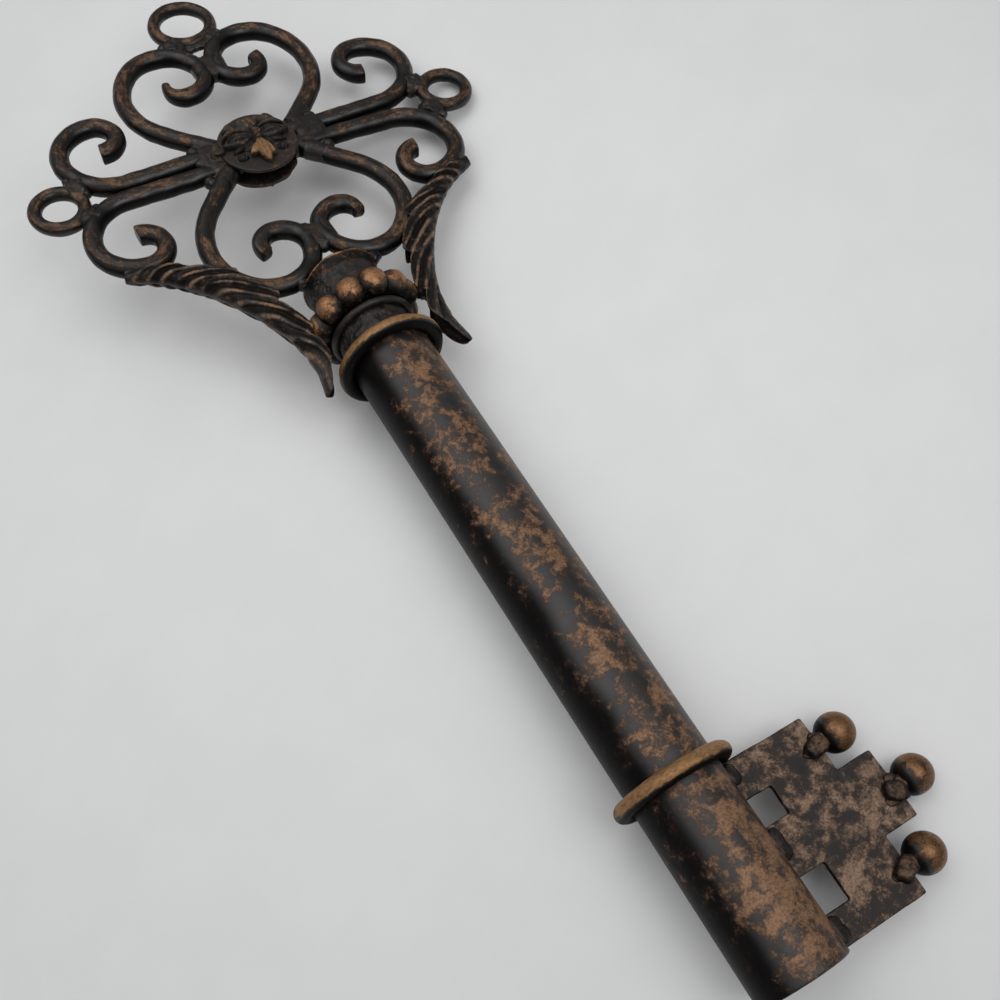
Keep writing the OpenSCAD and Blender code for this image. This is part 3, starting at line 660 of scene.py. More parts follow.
def bead_band():
    """Cast beads on a band, no two quite alike, rubbed on their outer sides."""
    on_band = along_shaft(BEAD_Y)
    parts = []
    for i in range(BEAD_COUNT):
        turn = i * 360 / BEAD_COUNT + BEAD_TURN
        spot = Matrix.Rotation(math.radians(turn + 1.5 * math.sin(5.1 * i)), 4, "Z")
        size = 1 + 0.02 * math.sin(4.3 * i)
        centre = (BEAD_CIRCLE_R, 0, 0.3 * math.sin(3.7 * i))
        sizes = (BEAD_R, BEAD_R * 0.97 * size, BEAD_R * size)
        parts.append(egg(on_band @ spot, centre, sizes, rows=24, columns=36))
    band_r = SPIGOT_R - 0.2
    parts.append(lathe(on_band, [(band_r, -5.2), (band_r, 5.2), (17.2, 4.6), (18.3, 0), (17.2, -4.6)], 96))
    inverse = on_band.inverted()
    pitch = 360 / BEAD_COUNT

    def rubbed(p, normal):
        q = inverse @ p
        out = math.hypot(q.x, q.y)
        turn = (math.degrees(math.atan2(q.y, q.x)) - BEAD_TURN + 180 / BEAD_COUNT) % pitch - 180 / BEAD_COUNT
        off = math.hypot(turn * math.pi / 180 * 21.5, q.z)
        return 1.15 - 1.7 * soft_step(off, 1.8, 6.4) - 0.6 * soft_step(-out, -19.5, -17.0)

    remeshed("bead_band", parts, "bead", voxel=0.3, smooth=3, rough=0.07, rub_and_light=rubbed)


# The scrolls and rings of the bow


def scroll_path(start, runs, step):
    """Points, headings and distances along a scroll, in the plane of the bow."""
    path, length, at = [], 0.0, start
    for size, sweep in runs:
        run_length = sweep if size == 0 else size * math.radians(sweep)
        count = max(2, round(run_length / step))
        for i in range(count):
            share = i / count
            path.append((*after_run(at, (size, sweep * share)), length + run_length * share))
        length += run_length
        at = after_run(at, (size, sweep))
    path.append((*at, length))
    return path, length


def scroll(node, start, runs, x, y, seed, tip, drift, more):
    """A rod bent in the plane of the bow. tip is (length, width share, height share, squareness) of its end.

    drift is how far the hand that bent it carried its curl out and away from the middle, more how many
    degrees further it bent the end.
    """
    matrix = ON_BOW @ quarter(x, y)
    step, around = 0.7, 36
    path, length = scroll_path(start, runs[:-1] + [(runs[-1][0], runs[-1][1] + more)], step)
    tip_l, tip_w, tip_h, square = tip
    rings = [(px, py, heading, at, 1.0) for px, py, heading, at in path]
    end_x, end_y, end_heading, _ = path[-1]
    forward = (math.cos(math.radians(end_heading)), math.sin(math.radians(end_heading)))
    for ahead, shrink in ((0.25, 0.93), (0.4, 0.8), (0.42, 0.4)):
        rings.append((end_x + ahead * forward[0], end_y + ahead * forward[1], end_heading, length, shrink))
    verts, rub_and_light, flow = [], [], []
    for px, py, heading, at, shrink in rings:
        a = math.radians(heading)
        side = Vector((-math.sin(a), math.cos(a), 0))
        carried = soft_step(at, 0.15 * length, 0.45 * length)
        centre = Vector((px + drift[0] * carried, py + drift[1] * carried, 0))
        centre += side * 0.3 * wobble(centre, 26.0, seed) * soft_step(at, 4, 20)
        ending = soft_step(at, length - tip_l, length)
        wide = ROD_R * (1 + (tip_w - 1) * ending) * shrink
        high = ROD_R * (1 + (tip_h - 1) * ending) * shrink
        power = 2 / (2 + (square - 2) * ending)
        bare = clear_of_welds(centre.x, centre.y)
        for j in range(around):
            b = 2 * math.pi * j / around
            c, s = math.cos(b), math.sin(b)
            u = math.copysign(abs(c) ** power, c) * wide
            v = math.copysign(abs(s) ** power, s) * high
            p = centre + side * u + Vector((0, 0, v))
            p += (side * u + Vector((0, 0, v))).normalized() * 0.2 * wobble(p, 5.0, seed + 50)
            verts.append(matrix @ p)
            topped = 0.6 * soft_step(abs(s), 0.3, 0.95) + 0.2 * ending * abs(s)
            rub_and_light.append(bare * topped - 0.3 * (1 - bare) - 0.5 * soft_step(abs(c), 0.55, 0.95))
            flow.append((at / 2 + 3 * seed, ROD_R * c, ROD_R * s))
    finished(node + "_dressed", verts, capped_faces(len(rings), around), "rod", [node], rub_and_light, flow)


def scrolls():
    """A heart scroll and a side scroll in each corner of the bow, no two bent quite alike."""
    side_tip = (8.0, 0.96, 0.9, 3.0)
    # For each corner the tip, drift and further bend of its heart scroll, and the last two of its side scroll
    corners = {
        "upper_right": (1, 1, (9.0, 0.9, 0.85, 3.2), (-1.2, 1.2), 8, (1.5, 0.5), 12),
        "upper_left": (-1, 1, (13.0, 0.5, 0.75, 2.8), (-0.4, -1.0), 0, (-0.3, -0.5), 26),
        "lower_right": (1, -1, (11.0, 0.7, 0.8, 3.2), (-1.0, -1.6), -14, (-0.5, 1.2), 22),
        "lower_left": (-1, -1, (9.0, 0.8, 0.84, 3.2), (0.2, 1.2), 8, (3.4, -0.8), 22),
    }
    for index, corner in enumerate(corners):
        x, y, tip, heart_drift, heart_more, side_drift, side_more = corners[corner]
        seed = 10.0 * index
        heart, side = f"{corner}_heart_scroll", f"{corner}_side_scroll"
        scroll(heart, HEART_START, HEART_RUNS, x, y, seed, tip, heart_drift, heart_more)
        scroll(side, SIDE_START, SIDE_RUNS, x, y, 60 + seed, side_tip, side_drift, side_more)


def rings():
    def worn_and_lit(a, out, up):
        """The shaft rings are rubbed along their crest, and the copper is painted brightest where they face
        up, a painted highlight.
        """
        crest = soft_step(0.88 * out + 0.48 * up, 0.2, 0.95)
        # Painted highlight: the share of copper falls away from the ring's upper side
        lit_top = 0.15 + 0.85 * soft_step(-math.sin(a), -0.2, 0.5)
        return lit_top * (2.0 * crest - 0.2) - 0.6 * (1 - crest)

    for name, y, seed, lump in (("lower", LOWER_RING_Y, 3.0, 0.2), ("upper", UPPER_RING_Y, 17.0, 0.16)):
        node = f"{name}_shaft_ring"
        centre_r = TUBE_R + SHAFT_RING_ROD_R
        torus(node + "_dressed", node, "ring", along_shaft(y), centre_r, SHAFT_RING_ROD_R, seed, lump, worn_and_lit)
    top = ON_BOW @ Matrix.Translation((0, TOP_RING_Y, 0))
    torus("top_hanging_ring_dressed", "top_hanging_ring", "rod", top, TOP_RING_R, RING_ROD_R, 29.0)
    for x, side in ((1, "right"), (-1, "left")):
        spot = ON_BOW @ Matrix.Translation(SIDE_RING_OFF[x]) @ Matrix.Translation((x * SIDE_RING_X, 0, 0))
        torus(f"{side}_ring_dressed", f"{side}_ring", "rod", spot, SIDE_RING_R, RING_ROD_R, 37.0 + 5 * x)


# The leaves: stamped sheet, folded over the rods like a gutter
FOOT_OUT = 9.3
FOOT_BACK = 8
TIP_SHORT = (1, 0.7)
LEAF_FOOT = Vector((TUBE_R + 2 * SHAFT_RING_ROD_R + FOOT_OUT, UPPER_RING_Y - BOW_Y - FOOT_BACK))
LEAF_TIP = Vector((
    SIDE_BEND[0] + SIDE_RUNS[1][0] - TIP_SHORT[0],
    TIP_SHORT[1] - SIDE_BEND[1] - SIDE_RUNS[2][0] - ROD_R,
))
LEAF_SHARES = [(0, 0), (-0.04, 0.17), (0.02, 0.36), (0.17, 0.55), (0.39, 0.74), (0.69, 0.91), (1, 1)]
LEAF_BACK = [
    Vector((LEAF_FOOT.x + a * (LEAF_TIP.x - LEAF_FOOT.x), LEAF_FOOT.y + b * (LEAF_TIP.y - LEAF_FOOT.y)))
    for a, b in LEAF_SHARES
]
LEAF_T = 1.2
LEAF_HALF_W = ROD_R + 0.3 + LEAF_T
# Depth of the upper and of the lower cheek at each knot, to the middle of its lobes
LEAF_UPPER = [1.2, 6.8, 8.6, 11.6, 12.0, 6.2, 1.6]
LEAF_LOWER = [1.2, 6.0, 6.4, 10.4, 12.0, 6.2, 1.6]
LOBE_PITCH = 18.6
FIRST_LOBE = 38.6
LOBE_DEPTH = 1.7
RIB_SLOPE = 2.2
RIBS_PER_LOBE = 2


def knot_curve(knots, u):
    """A smooth curve through knots, u knots from the first."""
    i = min(int(u), len(knots) - 2)
    t = u - i
    a, b, c, d = (knots[max(0, min(len(knots) - 1, k))] for k in (i - 1, i, i + 1, i + 2))
    squared = 2 * a - 5 * b + 4 * c - d
    cubed = 3 * b - a - 3 * c + d
    return (2 * b + (c - a) * t + squared * t * t + cubed * t * t * t) / 2


def lobe_bulge(share):
    """How far the leaf's edge stands out, from -1 in a notch to 1, at a share of the pitch of its lobes."""
    notch = 0.16
    if share < notch:
        return 1 - 2 * soft_step(share, 0.0, notch)
    return -1 + 2 * math.sin(math.pi / 2 * (share - notch) / 0.84) ** 0.8


def pleat_height(share):
    """Height of a pleat that rises slowly and drops at once, at a share of its width."""
    crest = 0.78
    if share < crest:
        return soft_step(share, -0.1, crest)
    return 1 - soft_step(share, crest, 1.02)


def gutter(t, half_w, depth):
    """Depth, height and outward direction of the folded sheet, at a share t of the way down its cheek."""
    arc_l = half_w * math.pi / 2
    run = t * (arc_l + depth - half_w)
    if run < arc_l:
        b = run / half_w
        return half_w * (1 - math.cos(b)), half_w * math.sin(b), Vector((-math.cos(b), math.sin(b)))
    return half_w + run - arc_l, half_w, Vector((0.0, 1.0))


def leaf_points(matrix, x, seed, rows, half):
    """Points of the leaf's outer and inner face, and the rubbing of the outer one."""
    last = len(LEAF_BACK) - 1
    places = [knot_curve(LEAF_BACK, i / (rows - 1) * last) for i in range(rows)]
    from_tip = [0.0] * rows
    for i in range(rows - 2, -1, -1):
        from_tip[i] = from_tip[i + 1] + (places[i + 1] - places[i]).length
    outer, inner, rub_and_light = [], [], []
    for i, place in enumerate(places):
        u = i / (rows - 1) * last
        ahead = places[min(i + 1, rows - 1)] - places[max(i - 1, 0)]
        inward = Vector((-ahead.y, ahead.x)).normalized()
        run = from_tip[i]
        lobed = soft_step(run, 16, 34) * (1 - soft_step(run, 84, 96))
        bulge = lobe_bulge(((run - FIRST_LOBE) / LOBE_PITCH) % 1.0)
        half_w = LEAF_HALF_W * (1 - 0.42 * soft_step(u, 5.0, 6.0))
        if u < 1.2:
            half_w *= math.sqrt(1 - 0.94 * (1 - u / 1.2) ** 2)
        for j in range(-half, half + 1):
            t = abs(j) / half
            sign = 1 if (j > 0) == (x > 0) else -1
            middle = knot_curve(LEAF_UPPER if sign * x > 0 else LEAF_LOWER, u)
            d, h, n = gutter(t, half_w, max(middle + lobed * LOBE_DEPTH * bulge, half_w + 0.2))
            bent = 0.1 * wobble((place.x + 0.5 * d, place.y, 0), 11.0, seed)
            lobe = (run - FIRST_LOBE - RIB_SLOPE * (d - middle)) / LOBE_PITCH + bent
            ridge = pleat_height((RIBS_PER_LOBE * lobe) % 1.0)
            waver = 0.4 * wobble(place.to_3d(), 9.0, seed)
            fine = abs(math.sin(math.pi * (3 * RIBS_PER_LOBE * lobe + waver)))
            seam = 1 - abs(math.sin(math.pi * lobe)) ** 0.3
            strength = soft_step(t, 0.0, 0.2) * (0.25 + 0.75 * soft_step(u, 0.5, 1.8))
            strength *= 1 - 0.7 * soft_step(u, 5.3, 6.0)
            swell = 1.1 + 0.5 * wobble(place.to_3d() + Vector((d, 0, 0)), 5.0, seed)
            lift = strength * (swell * ridge + 0.25 * fine * ridge - 1.0 - 0.5 * seam)
            curl = -0.9 * soft_step(t, 0.82, 1.0) * lobed
            q = Vector((place.x + d * inward.x, place.y + d * inward.y, sign * h))
            normal = Vector((n.x * inward.x, n.x * inward.y, sign * n.y))
            shift = normal * (0.18 * wobble(q, 3.0, seed) + curl)
            outer.append(matrix @ (q + normal * lift + shift))
            inner.append(matrix @ (q - normal * (LEAF_T - 0.2) + shift))
            patched = 0.5 + wobble(q, 6.0, seed + 9)
            crest = 2.4 * soft_step(ridge, 0.7, 1.0) * patched - 0.4 - seam
            rub_and_light.append(strength * crest + 0.6 * soft_step(t, 0.94, 1.0) - 0.1)
    return outer, inner, rub_and_light


def leaf(node, x, seed):
    """An acanthus leaf: a folded gutter of sheet with rope-like ribs and lobes that point to the shaft."""
    rows, half = 260, 40
    matrix = ON_BOW @ (Matrix.Rotation(math.pi, 4, "Y") if x < 0 else Matrix.Identity(4))
    outer, inner, rub_and_light = leaf_points(matrix, x, seed, rows, half)
    columns = 2 * half + 1
    count = len(outer)
    faces = grid_faces(rows, columns, closed_columns=False)
    faces += [tuple(reversed(f)) for f in grid_faces(rows, columns, closed_columns=False, first=count)]
    for i in range(rows - 1):
        for edge in (0, columns - 1):
            a, b = i * columns + edge, (i + 1) * columns + edge
            face = (a, b, b + count, a + count)
            faces.append(face if edge == 0 else tuple(reversed(face)))
    for end in (0, rows - 1):
        for j in range(columns - 1):
            a, b = end * columns + j, end * columns + j + 1
            face = (b, a, a + count, b + count)
            faces.append(face if end == 0 else tuple(reversed(face)))
    finished(node + "_dressed", outer + inner, faces, "leaf", [node], rub_and_light + [-0.6] * count)


# The medallion
SUNK = -9.0
# The hand-set discs sit a little off the middle of the bow
FRONT_OFF = Vector((-1.7, -1.0, -0.3))
REAR_OFF = Vector((-1.2, 0.0, 0.4))
FRONT_DISC_OFF = Vector((-1.5, -1.0, 0.0))
REAR_DISC_OFF = Vector((-2.0, 0.8, 0.0))


def blade(x, y, start, end, half, high, bend=0.0, vein=0.0):
    """Height of one pointed leaf of the cast foliage at (x, y)."""
    ax, ay = end[0] - start[0], end[1] - start[1]
    long = math.hypot(ax, ay)
    u = ((x - start[0]) * ax + (y - start[1]) * ay) / long**2
    if not 0 < u < 1:
        return SUNK
    v = ((x - start[0]) * ay - (y - start[1]) * ax) / long - bend * math.sin(math.pi * u)
    w = abs(v) / (half * math.sin(math.pi * u**0.85) ** 0.7 + 1e-6)
    if w >= 1:
        return SUNK
    body = high * math.sqrt(1 - w**2.4) * (0.65 + 0.35 * math.sin(math.pi * u))
    return body - vein * math.exp(-((v / 0.45) ** 2))


def mound(x, y, centre, sizes, high):
    q = math.hypot((x - centre[0]) / sizes[0], (y - centre[1]) / sizes[1])
    return high * math.sqrt(1 - q * q) if q < 1 else SUNK


def ornament_height(x, y):
    """Height of the cast foliage over its disc. The main leaf points to the shaft, along -Y."""
    top = max(mound(x, y, (0, 3.4), (13.0, 8.2), 2.0), mound(x, y, (0, -3.5), (5.6, 5.4), 2.2))
    for side in (-1, 1):
        eye = blade(x, y, (0.6 * side, 2.2), (14.8 * side, 0.7), 3.8, 4.0, -0.9 * side)
        hollow = blade(x, y, (2.4 * side, 2.1), (12.8 * side, 1.2), 2.3, 1.7, -0.8 * side)
        top = max(top, eye - max(0.0, hollow) if eye > 0 else SUNK)
        top = max(top, blade(x, y, (4.0 * side, 2.2), (11.0 * side, 1.5), 0.9, 3.6, -0.7 * side))
        top = max(top, blade(x, y, (2.6 * side, 6.0), (14.2 * side, 4.4), 1.6, 4.3, -2.0 * side, 0.3))
        top = max(top, blade(x, y, (4.2 * side, 9.4), (12.2 * side, 8.8), 2.3, 4.0, -1.2 * side, 0.5))
        shell = mound(x, y, (9.0 * side, -6.8), (2.7, 2.1), 2.3)
        flutes = 0.5 * abs(math.sin(2.6 * (x - 9.0 * side) - 0.8 * y))
        top = max(top, shell - flutes if shell > 0 else SUNK)
        top = max(top, blade(x, y, (5.6 * side, -1.6), (12.2 * side, -3.6), 1.3, 2.2, 0.0, 0.3))
    crown = mound(x, y, (-0.5, 9.6), (6.2, 5.2), 4.6)
    top = max(top, crown + 0.5 * wobble((x, y, 0), 1.2, 4.0) if crown > 0 else SUNK)
    # The broad middle leaf with a lobe on either side, as it was bent by hand
    top = max(top, blade(x, y, (0.6, -0.2), (0.4, -14.4), 3.5, 5.0, 0.0, 0.7))
    top = max(top, blade(x, y, (0.4, -2.4), (-5.8, -7.9), 2.7, 4.0, -0.6, 0.3))
    top = max(top, blade(x, y, (1.4, -2.0), (4.4, -10.8), 2.5, 4.2, 0.7, 0.3))
    boss = math.hypot(x - 0.8, y - 1.4)
    if boss < 2.2:
        top = max(top, 5.6 - 1.3 * math.exp(-((boss / 0.8) ** 2)) - 1.2 * soft_step(boss, 1.5, 2.2))
    elif boss < 3.0:
        top = min(top, 2.8)
    return top


def ornament(node, flip):
    """The cast foliage of one side, as a height field over a round plate, rubbed most on its main leaf."""
    rings, steps, reach, plate_z = 96, 280, 15.6, -0.8
    matrix = ON_BOW @ Matrix.Translation(REAR_OFF if flip else FRONT_OFF)
    matrix = matrix @ Matrix.Rotation(math.pi if flip else 0, 4, "Y")
    matrix = matrix @ Matrix.Translation((0, 0, ROD_R + DISC_T))
    verts, rub_and_light = [], []
    for i in range(rings + 1):
        r = reach * i / rings
        for j in range(steps):
            a = 2 * math.pi * j / steps
            x, y = r * math.cos(a), r * math.sin(a)
            high = ornament_height(x, y)
            verts.append(matrix @ Vector((x, y, max(high, -0.5) + 0.16 * wobble((x, y, 3.0), 1.6, 2.0))))
            tongue = soft_step(-y, -0.5, 3.0) * (1 - soft_step(abs(x), 6.0, 8.5))
            tongue = min(1.0, tongue + 0.6 * soft_step(-y, 3.5, 6.0))
            crested = 0.5 * soft_step(high, 2.0, 4.0) + tongue * soft_step(high, 1.2, 3.4)
            rub_and_light.append(crested - 0.35)
    faces = grid_faces(rings + 1, steps)[steps:]
    faces.append(tuple(reversed(range(steps, 2 * steps))))
    base = len(verts)
    for j in range(steps):
        a = 2 * math.pi * j / steps
        verts.append(matrix @ Vector((reach * math.cos(a), reach * math.sin(a), plate_z)))
    rub_and_light += [-0.5] * steps
    rim = rings * steps
    for j in range(steps):
        k = (j + 1) % steps
        faces.append((rim + j, rim + k, base + k, base + j))
    faces.append(tuple(base + j for j in range(steps)))
    faces = [tuple(reversed(f)) for f in faces]
    finished(node + "_dressed", verts, faces, "relief", [node], rub_and_light)


def disc(node, low, wavy, seed, off):
    """A disc of the medallion, a little uneven at its edge."""
    edge, hole_r = 0.5, 3.2
    corner_r = DISC_R - edge

    def uneven(radius, height, a):
        share = soft_step(radius, 8.0, DISC_R)
        p = (10 * math.cos(a), 10 * math.sin(a), seed)
        if wavy:
            wave = math.cos(11 * a)
            return share * (0.45 * wave - 0.4), share * (0.4 * wobble(p, 6.0) + 0.35 * wave)
        return share * (0.25 * wobble(p, 8.0) - 0.2), share * 0.12 * wobble(p, 9.0, 4.0)

    def rubbed(radius, height, j):
        return 0.5 * soft_step(radius, DISC_R - 1.2, DISC_R - 0.4) - 0.2 if wavy else 0.2

    profile = [(hole_r, 0.0)] + spaced([(hole_r + 0.1, 0.0), (corner_r, 0.0)], 1.0)
    profile += arc((corner_r, edge), edge, -90, 0, 4)[1:] + arc((corner_r, DISC_T - edge), edge, 0, 90, 4)
    profile += spaced([(corner_r, DISC_T), (hole_r + 0.1, DISC_T)], 1.0)[1:] + [(hole_r, DISC_T)]
    matrix = ON_BOW @ Matrix.Translation(off + Vector((0, 0, low)))
    turned(node + "_dressed", node, "dark", matrix, profile, 220, rubbed, uneven)


# The bit


def rounded(outline, corner, step):
    """A closed outline with its corners rounded off, its points no further apart than step."""
    points = []
    for i, p in enumerate(outline):
        before, after = Vector(outline[i - 1]), Vector(outline[(i + 1) % len(outline)])
        p = Vector(p)
        a, b = p + (before - p).normalized() * corner, p + (after - p).normalized() * corner
        for k in range(5):
            t = k / 4
            points.append(a * (1 - t) ** 2 + p * 2 * t * (1 - t) + b * t * t)
    closed = []
    for a, b in zip(points, points[1:] + points[:1]):
        pieces = max(1, math.ceil((b - a).length / step))
        closed += [a.lerp(b, k / pieces) for k in range(pieces)]
    return closed


def bit_plate():
    """The stepped plate with its two windows, its edges a little rounded by the cutting."""
    inner, bevel = BORE_R + 0.9, 0.35
    mid_h = STEP_H + MID_STEP_RISE
    mid_start, mid_end = PLATE_START + STEP_W, PLATE_END - STEP_W
    high_end, low_end = HIGH_WINDOW_Y + HIGH_WINDOW_W, LOW_WINDOW_Y + LOW_WINDOW_W
    outline = [
        (inner, PLATE_START), (STEP_H, PLATE_START), (STEP_H, mid_start), (mid_h, mid_start),
        (mid_h, mid_end), (STEP_H, mid_end), (STEP_H, PLATE_END), (inner, PLATE_END),
        (inner, high_end), (WINDOW_H, high_end), (WINDOW_H, HIGH_WINDOW_Y), (inner, HIGH_WINDOW_Y),
        (inner, low_end), (WINDOW_H, low_end), (WINDOW_H, LOW_WINDOW_Y), (inner, LOW_WINDOW_Y),
    ]
    closed = rounded(outline, 0.9, 1.5)
    shaped = []
    for i, p in enumerate(closed):
        tangent = (closed[(i + 1) % len(closed)] - closed[i - 1]).normalized()
        normal = Vector((tangent.y, -tangent.x))
        uneven = 0.18 * wobble((p.x, p.y, 0), 5.0, 11.0) if p.x > inner + 1 else 0.0
        shaped.append((p + normal * uneven, normal))
    half_t = PLATE_T / 2
    verts, rub_and_light = [], []
    for out, z in ((-bevel, -half_t), (0.0, -half_t + bevel), (0.0, half_t - bevel), (-bevel, half_t)):
        for p, normal in shaped:
            q = p + normal * out
            verts.append(LYING @ Vector((q.x, q.y, z)))
            rub_and_light.append(-1.6 if out == 0 else 0.3 + 0.3 * soft_step(p.x, 20, 45))
    faces = capped_faces(4, len(shaped))
    plate = finished("bit_plate_dressed", verts, faces, "plate", ["bit_plate"], rub_and_light)
    for polygon in plate.data.polygons[-2:]:
        polygon.use_smooth = False


def balls():
    for index, (spot, (x, y)) in enumerate(BALL_PLACES.items()):
        matrix = LYING @ Matrix.Translation((x, y, 0))
        shape, faces = egg(Matrix.Identity(4), (0, 0, 0), (BALL_R, BALL_R, BALL_R), rows=48, columns=72)
        verts, rub_and_light = [], []
        for p in shape:
            verts.append(matrix @ (p * (1 + 0.006 * wobble(p, 4.0, 13.0 * index))))
            # Painted light: the copper stays on the ball's top as a painted highlight, and the underside and
            # the side towards the plate are painted dark as shade
            inner, shaded_side = soft_step(-p.x / BALL_R, 0.2, 0.75), soft_step(-p.z / BALL_R, -0.75, 0.35)
            rub_and_light.append(1.1 - 1.7 * inner - 1.6 * shaded_side)
        finished(f"{spot}_ball_dressed", verts, faces, "ball", [f"{spot}_ball"], rub_and_light)


def rub_and_highlight_on_top(most, low, base):
    """Rubbing of a lump's upper side, in part a painted highlight where it faces up."""
    return lambda p, normal: most * soft_step(normal.z, low, 1.0) + base


def on_both_sides(most):
    """Rubbing of a lump's upper and lower sides."""
    return lambda p, normal: most * soft_step(abs(normal.z), 0.6, 1.0)


def ball_stems():
    """Squat, rough lumps of weld that hold the balls to the front of the plate."""
    z = PLATE_T / 2
    for index, (spot, (x, y)) in enumerate(BALL_PLACES.items()):
        lean = 1.2 * math.cos(2.6 * index)
        near = x - BALL_R
        lump = (near - 2.6, y - 1.2 + 0.4 * lean, z + 1.2)
        parts = [
            egg(LYING, lump, (4.6, 3.3, 2.6), (0, 10, 25 * lean), square=(3.3, 3.0)),
            egg(LYING, (near + 0.6, y - 0.4, z + 0.6), (2.8, 2.9, 2.4), (0, 0, 30), square=(3.0, 2.6)),
            egg(LYING, (near - 4.6, y - 2.4 + lean, z), (3.4, 2.4, 1.2)),
            egg(LYING, (near - 1.0, y + 2.2 - 0.6 * lean, z), (2.6, 1.8, 1.4)),
        ]
        rub_and_light = rub_and_highlight_on_top(1.2, 0.5, -0.45)
        remeshed(f"{spot}_ball_stem", parts, "stem", 0.3, smooth=3, rough=0.45, rough_size=2.6, rub_and_light=rub_and_light)


def bit_welds():
    """Shiny beads of weld between the plate and the tube, on both sides of the plate."""
    edge = math.sqrt(TUBE_R**2 - (PLATE_T / 2) ** 2)
    parts = []
    # Middle along the shaft, half length and slant of each bead
    beads = ((PLATE_START + 5.5, 5.0, 8), (HIGH_WINDOW_Y - 6.5, 6.0, -6), (PLATE_END - 4.5, 4.2, 4))
    for y, half, slant in beads:
        for z in (-1, 1):
            centre, turn = (edge + 1.6, y, z * 1.2), (0, z * 24, slant)
            parts.append(egg(LYING, centre, (3.0, half, 1.8), turn, square=(2.4, 2.2)))
            parts.append(egg(LYING, (edge + 2.6, y - 0.3 * half, z * 0.8), (2.2, 0.6 * half, 1.2)))
            parts.append(egg(LYING, (edge + 2.4, y + 0.4 * half, z * 0.8), (2.0, 0.5 * half, 1.2)))
    rub_and_light = rub_and_highlight_on_top(0.9, 0.5, -0.2)
    remeshed("bit_welds", parts, "weld", 0.3, smooth=12, rough=0.22, rough_size=3.2, rub_and_light=rub_and_light)


# Welds of the bow. Their stubs and eggs lie in its plane


def bow_egg(centre, sizes, turn=(0, 0, 0), rows=12, columns=20, square=(2.0, 2.0)):
    return egg(ON_BOW, centre, sizes, turn, rows, columns, square)


def bow_stub(start, end, r_start, r_end):
    return stub(ON_BOW, start, end, r_start, r_end)


def junction_welds():
    """Webs of weld where bars and hearts meet the medallion, and a bent scrap of leaf beside it."""
    parts = []
    foot_angle = math.radians(HEART_SLANT)
    off = ROD_R + WELD_R - 1
    thick, thin = ROD_R + 0.45, ROD_R - 0.2
    webs = {1: (23.0, 1.4, 7.5, 7.4), -1: (-20.0, 0.8, 8.0, 8.4)}
    for x in (-1, 1):
        for y in (-1, 1):
            crotch = (HEART_START[0] + off / math.tan(foot_angle / 2)) * x
            parts.append(bow_egg((crotch - 2.2 * x, (BAR_Y + off - 1.4) * y, 0), (3.0, 2.6, 3.0)))
            parts.append(bow_stub((x * 12.0, y * BAR_Y, 0), (x * 27.0, y * BAR_Y, 0), thick, thin))
            start = Vector((HEART_START[0] * x, BAR_Y * y, 0))
            ahead = Vector((math.cos(foot_angle) * x, math.sin(foot_angle) * y, 0))
            parts.append(bow_stub(start + ahead * 4.0, start + ahead * 19.0, thick, thin))
        middle_x, middle_y, half_x, half_y = webs[x]
        parts.append(bow_egg((middle_x, middle_y, 0), (half_x, half_y, 4.4), (0, 0, 0), 24, 36, (3.4, 4.4)))
        for z in (-1, 1):
            by_disc = (x * (DISC_R + 2.6), -0.5, z * (ROD_R - 0.6))
            parts.append(bow_egg(by_disc, (3.4, 3.0, 1.7), (0, 0, 25 * x), 16, 24, (3.0, 2.4)))
            parts.append(bow_egg((x * (DISC_R + 9.0), 0.5 * z, z * 2.4), (3.4, 2.4, 1.6)))
    scrap = Vector((-19.8, 0.6, ROD_R + 1.8))
    parts.append(bow_egg(scrap, (3.9, 2.1, 1.2), (14, -18, 62), 16, 24, (2.2, 2.2)))
    beside = scrap + Vector((1.2, -1.6, 0.4))
    parts.append(bow_egg(beside, (2.9, 1.9, 1.0), (-12, 10, 10), 16, 24, (2.2, 2.2)))
    scrap_place = ON_BOW @ scrap

    def rubbed(p, normal):
        bright = 1.6 * (1 - soft_step((p - scrap_place).length, 3.0, 4.4))
        return 0.5 * soft_step(abs(normal.z), 0.6, 1.0) + bright

    remeshed("junction_welds", parts, "weld", smooth=9, rough=0.16, rough_size=3.0, rub_and_light=rubbed)


def heart_welds():
    """Welds that join the two lobes of each heart."""
    parts = []
    for y in (-1, 1):
        for x in (-1, 1):
            middle = (x * 4.1, y * (LOBE_Y + 0.5), 0)
            parts.append(bow_stub((x * 4.1, y * (LOBE_Y - 6.5), 0), middle, 3.75, 4.1))
            parts.append(bow_stub(middle, (x * 4.7, y * (LOBE_Y + 6.5), 0), 4.1, 3.75))
        parts.append(bow_egg((0, y * (LOBE_Y + 0.5), 0), (5.0, 7.0, 3.75), (0, 0, 0), 20, 30, (2.6, 3.2)))
        parts.append(bow_egg((0, y * (LOBE_Y + 5.5), 0), (3.2, 3.4, 2.8)))
    remeshed("heart_welds", parts, "weld", smooth=9, rough=0.15, rough_size=2.6, rub_and_light=on_both_sides(0.8))


def ring_weld(spot, ahead, seed):
    """One lumpy weld between a ring and a scroll, run well up the rods on both sides."""
    side = Vector((-ahead.y, ahead.x, 0))
    parts = [
        bow_stub(spot - ahead * 4.2, spot + ahead * 4.0, 4.1, 3.3),
        bow_egg(spot, (5.4, 5.4, 3.5), (0, 0, 0), 16, 24, (2.4, 2.8)),
    ]
    for k in (-1, 1):
        reach = 4.4 + 0.8 * math.sin(3.1 * seed + k)
        parts.append(bow_egg(spot + side * k * reach - ahead * (0.9 + k * math.sin(seed)), (2.7, 2.7, 2.4)))
        parts.append(bow_egg(spot + side * k * 2.0 + Vector((0, 0, k * 2.2)), (3.0, 2.7, 1.7)))
    return parts


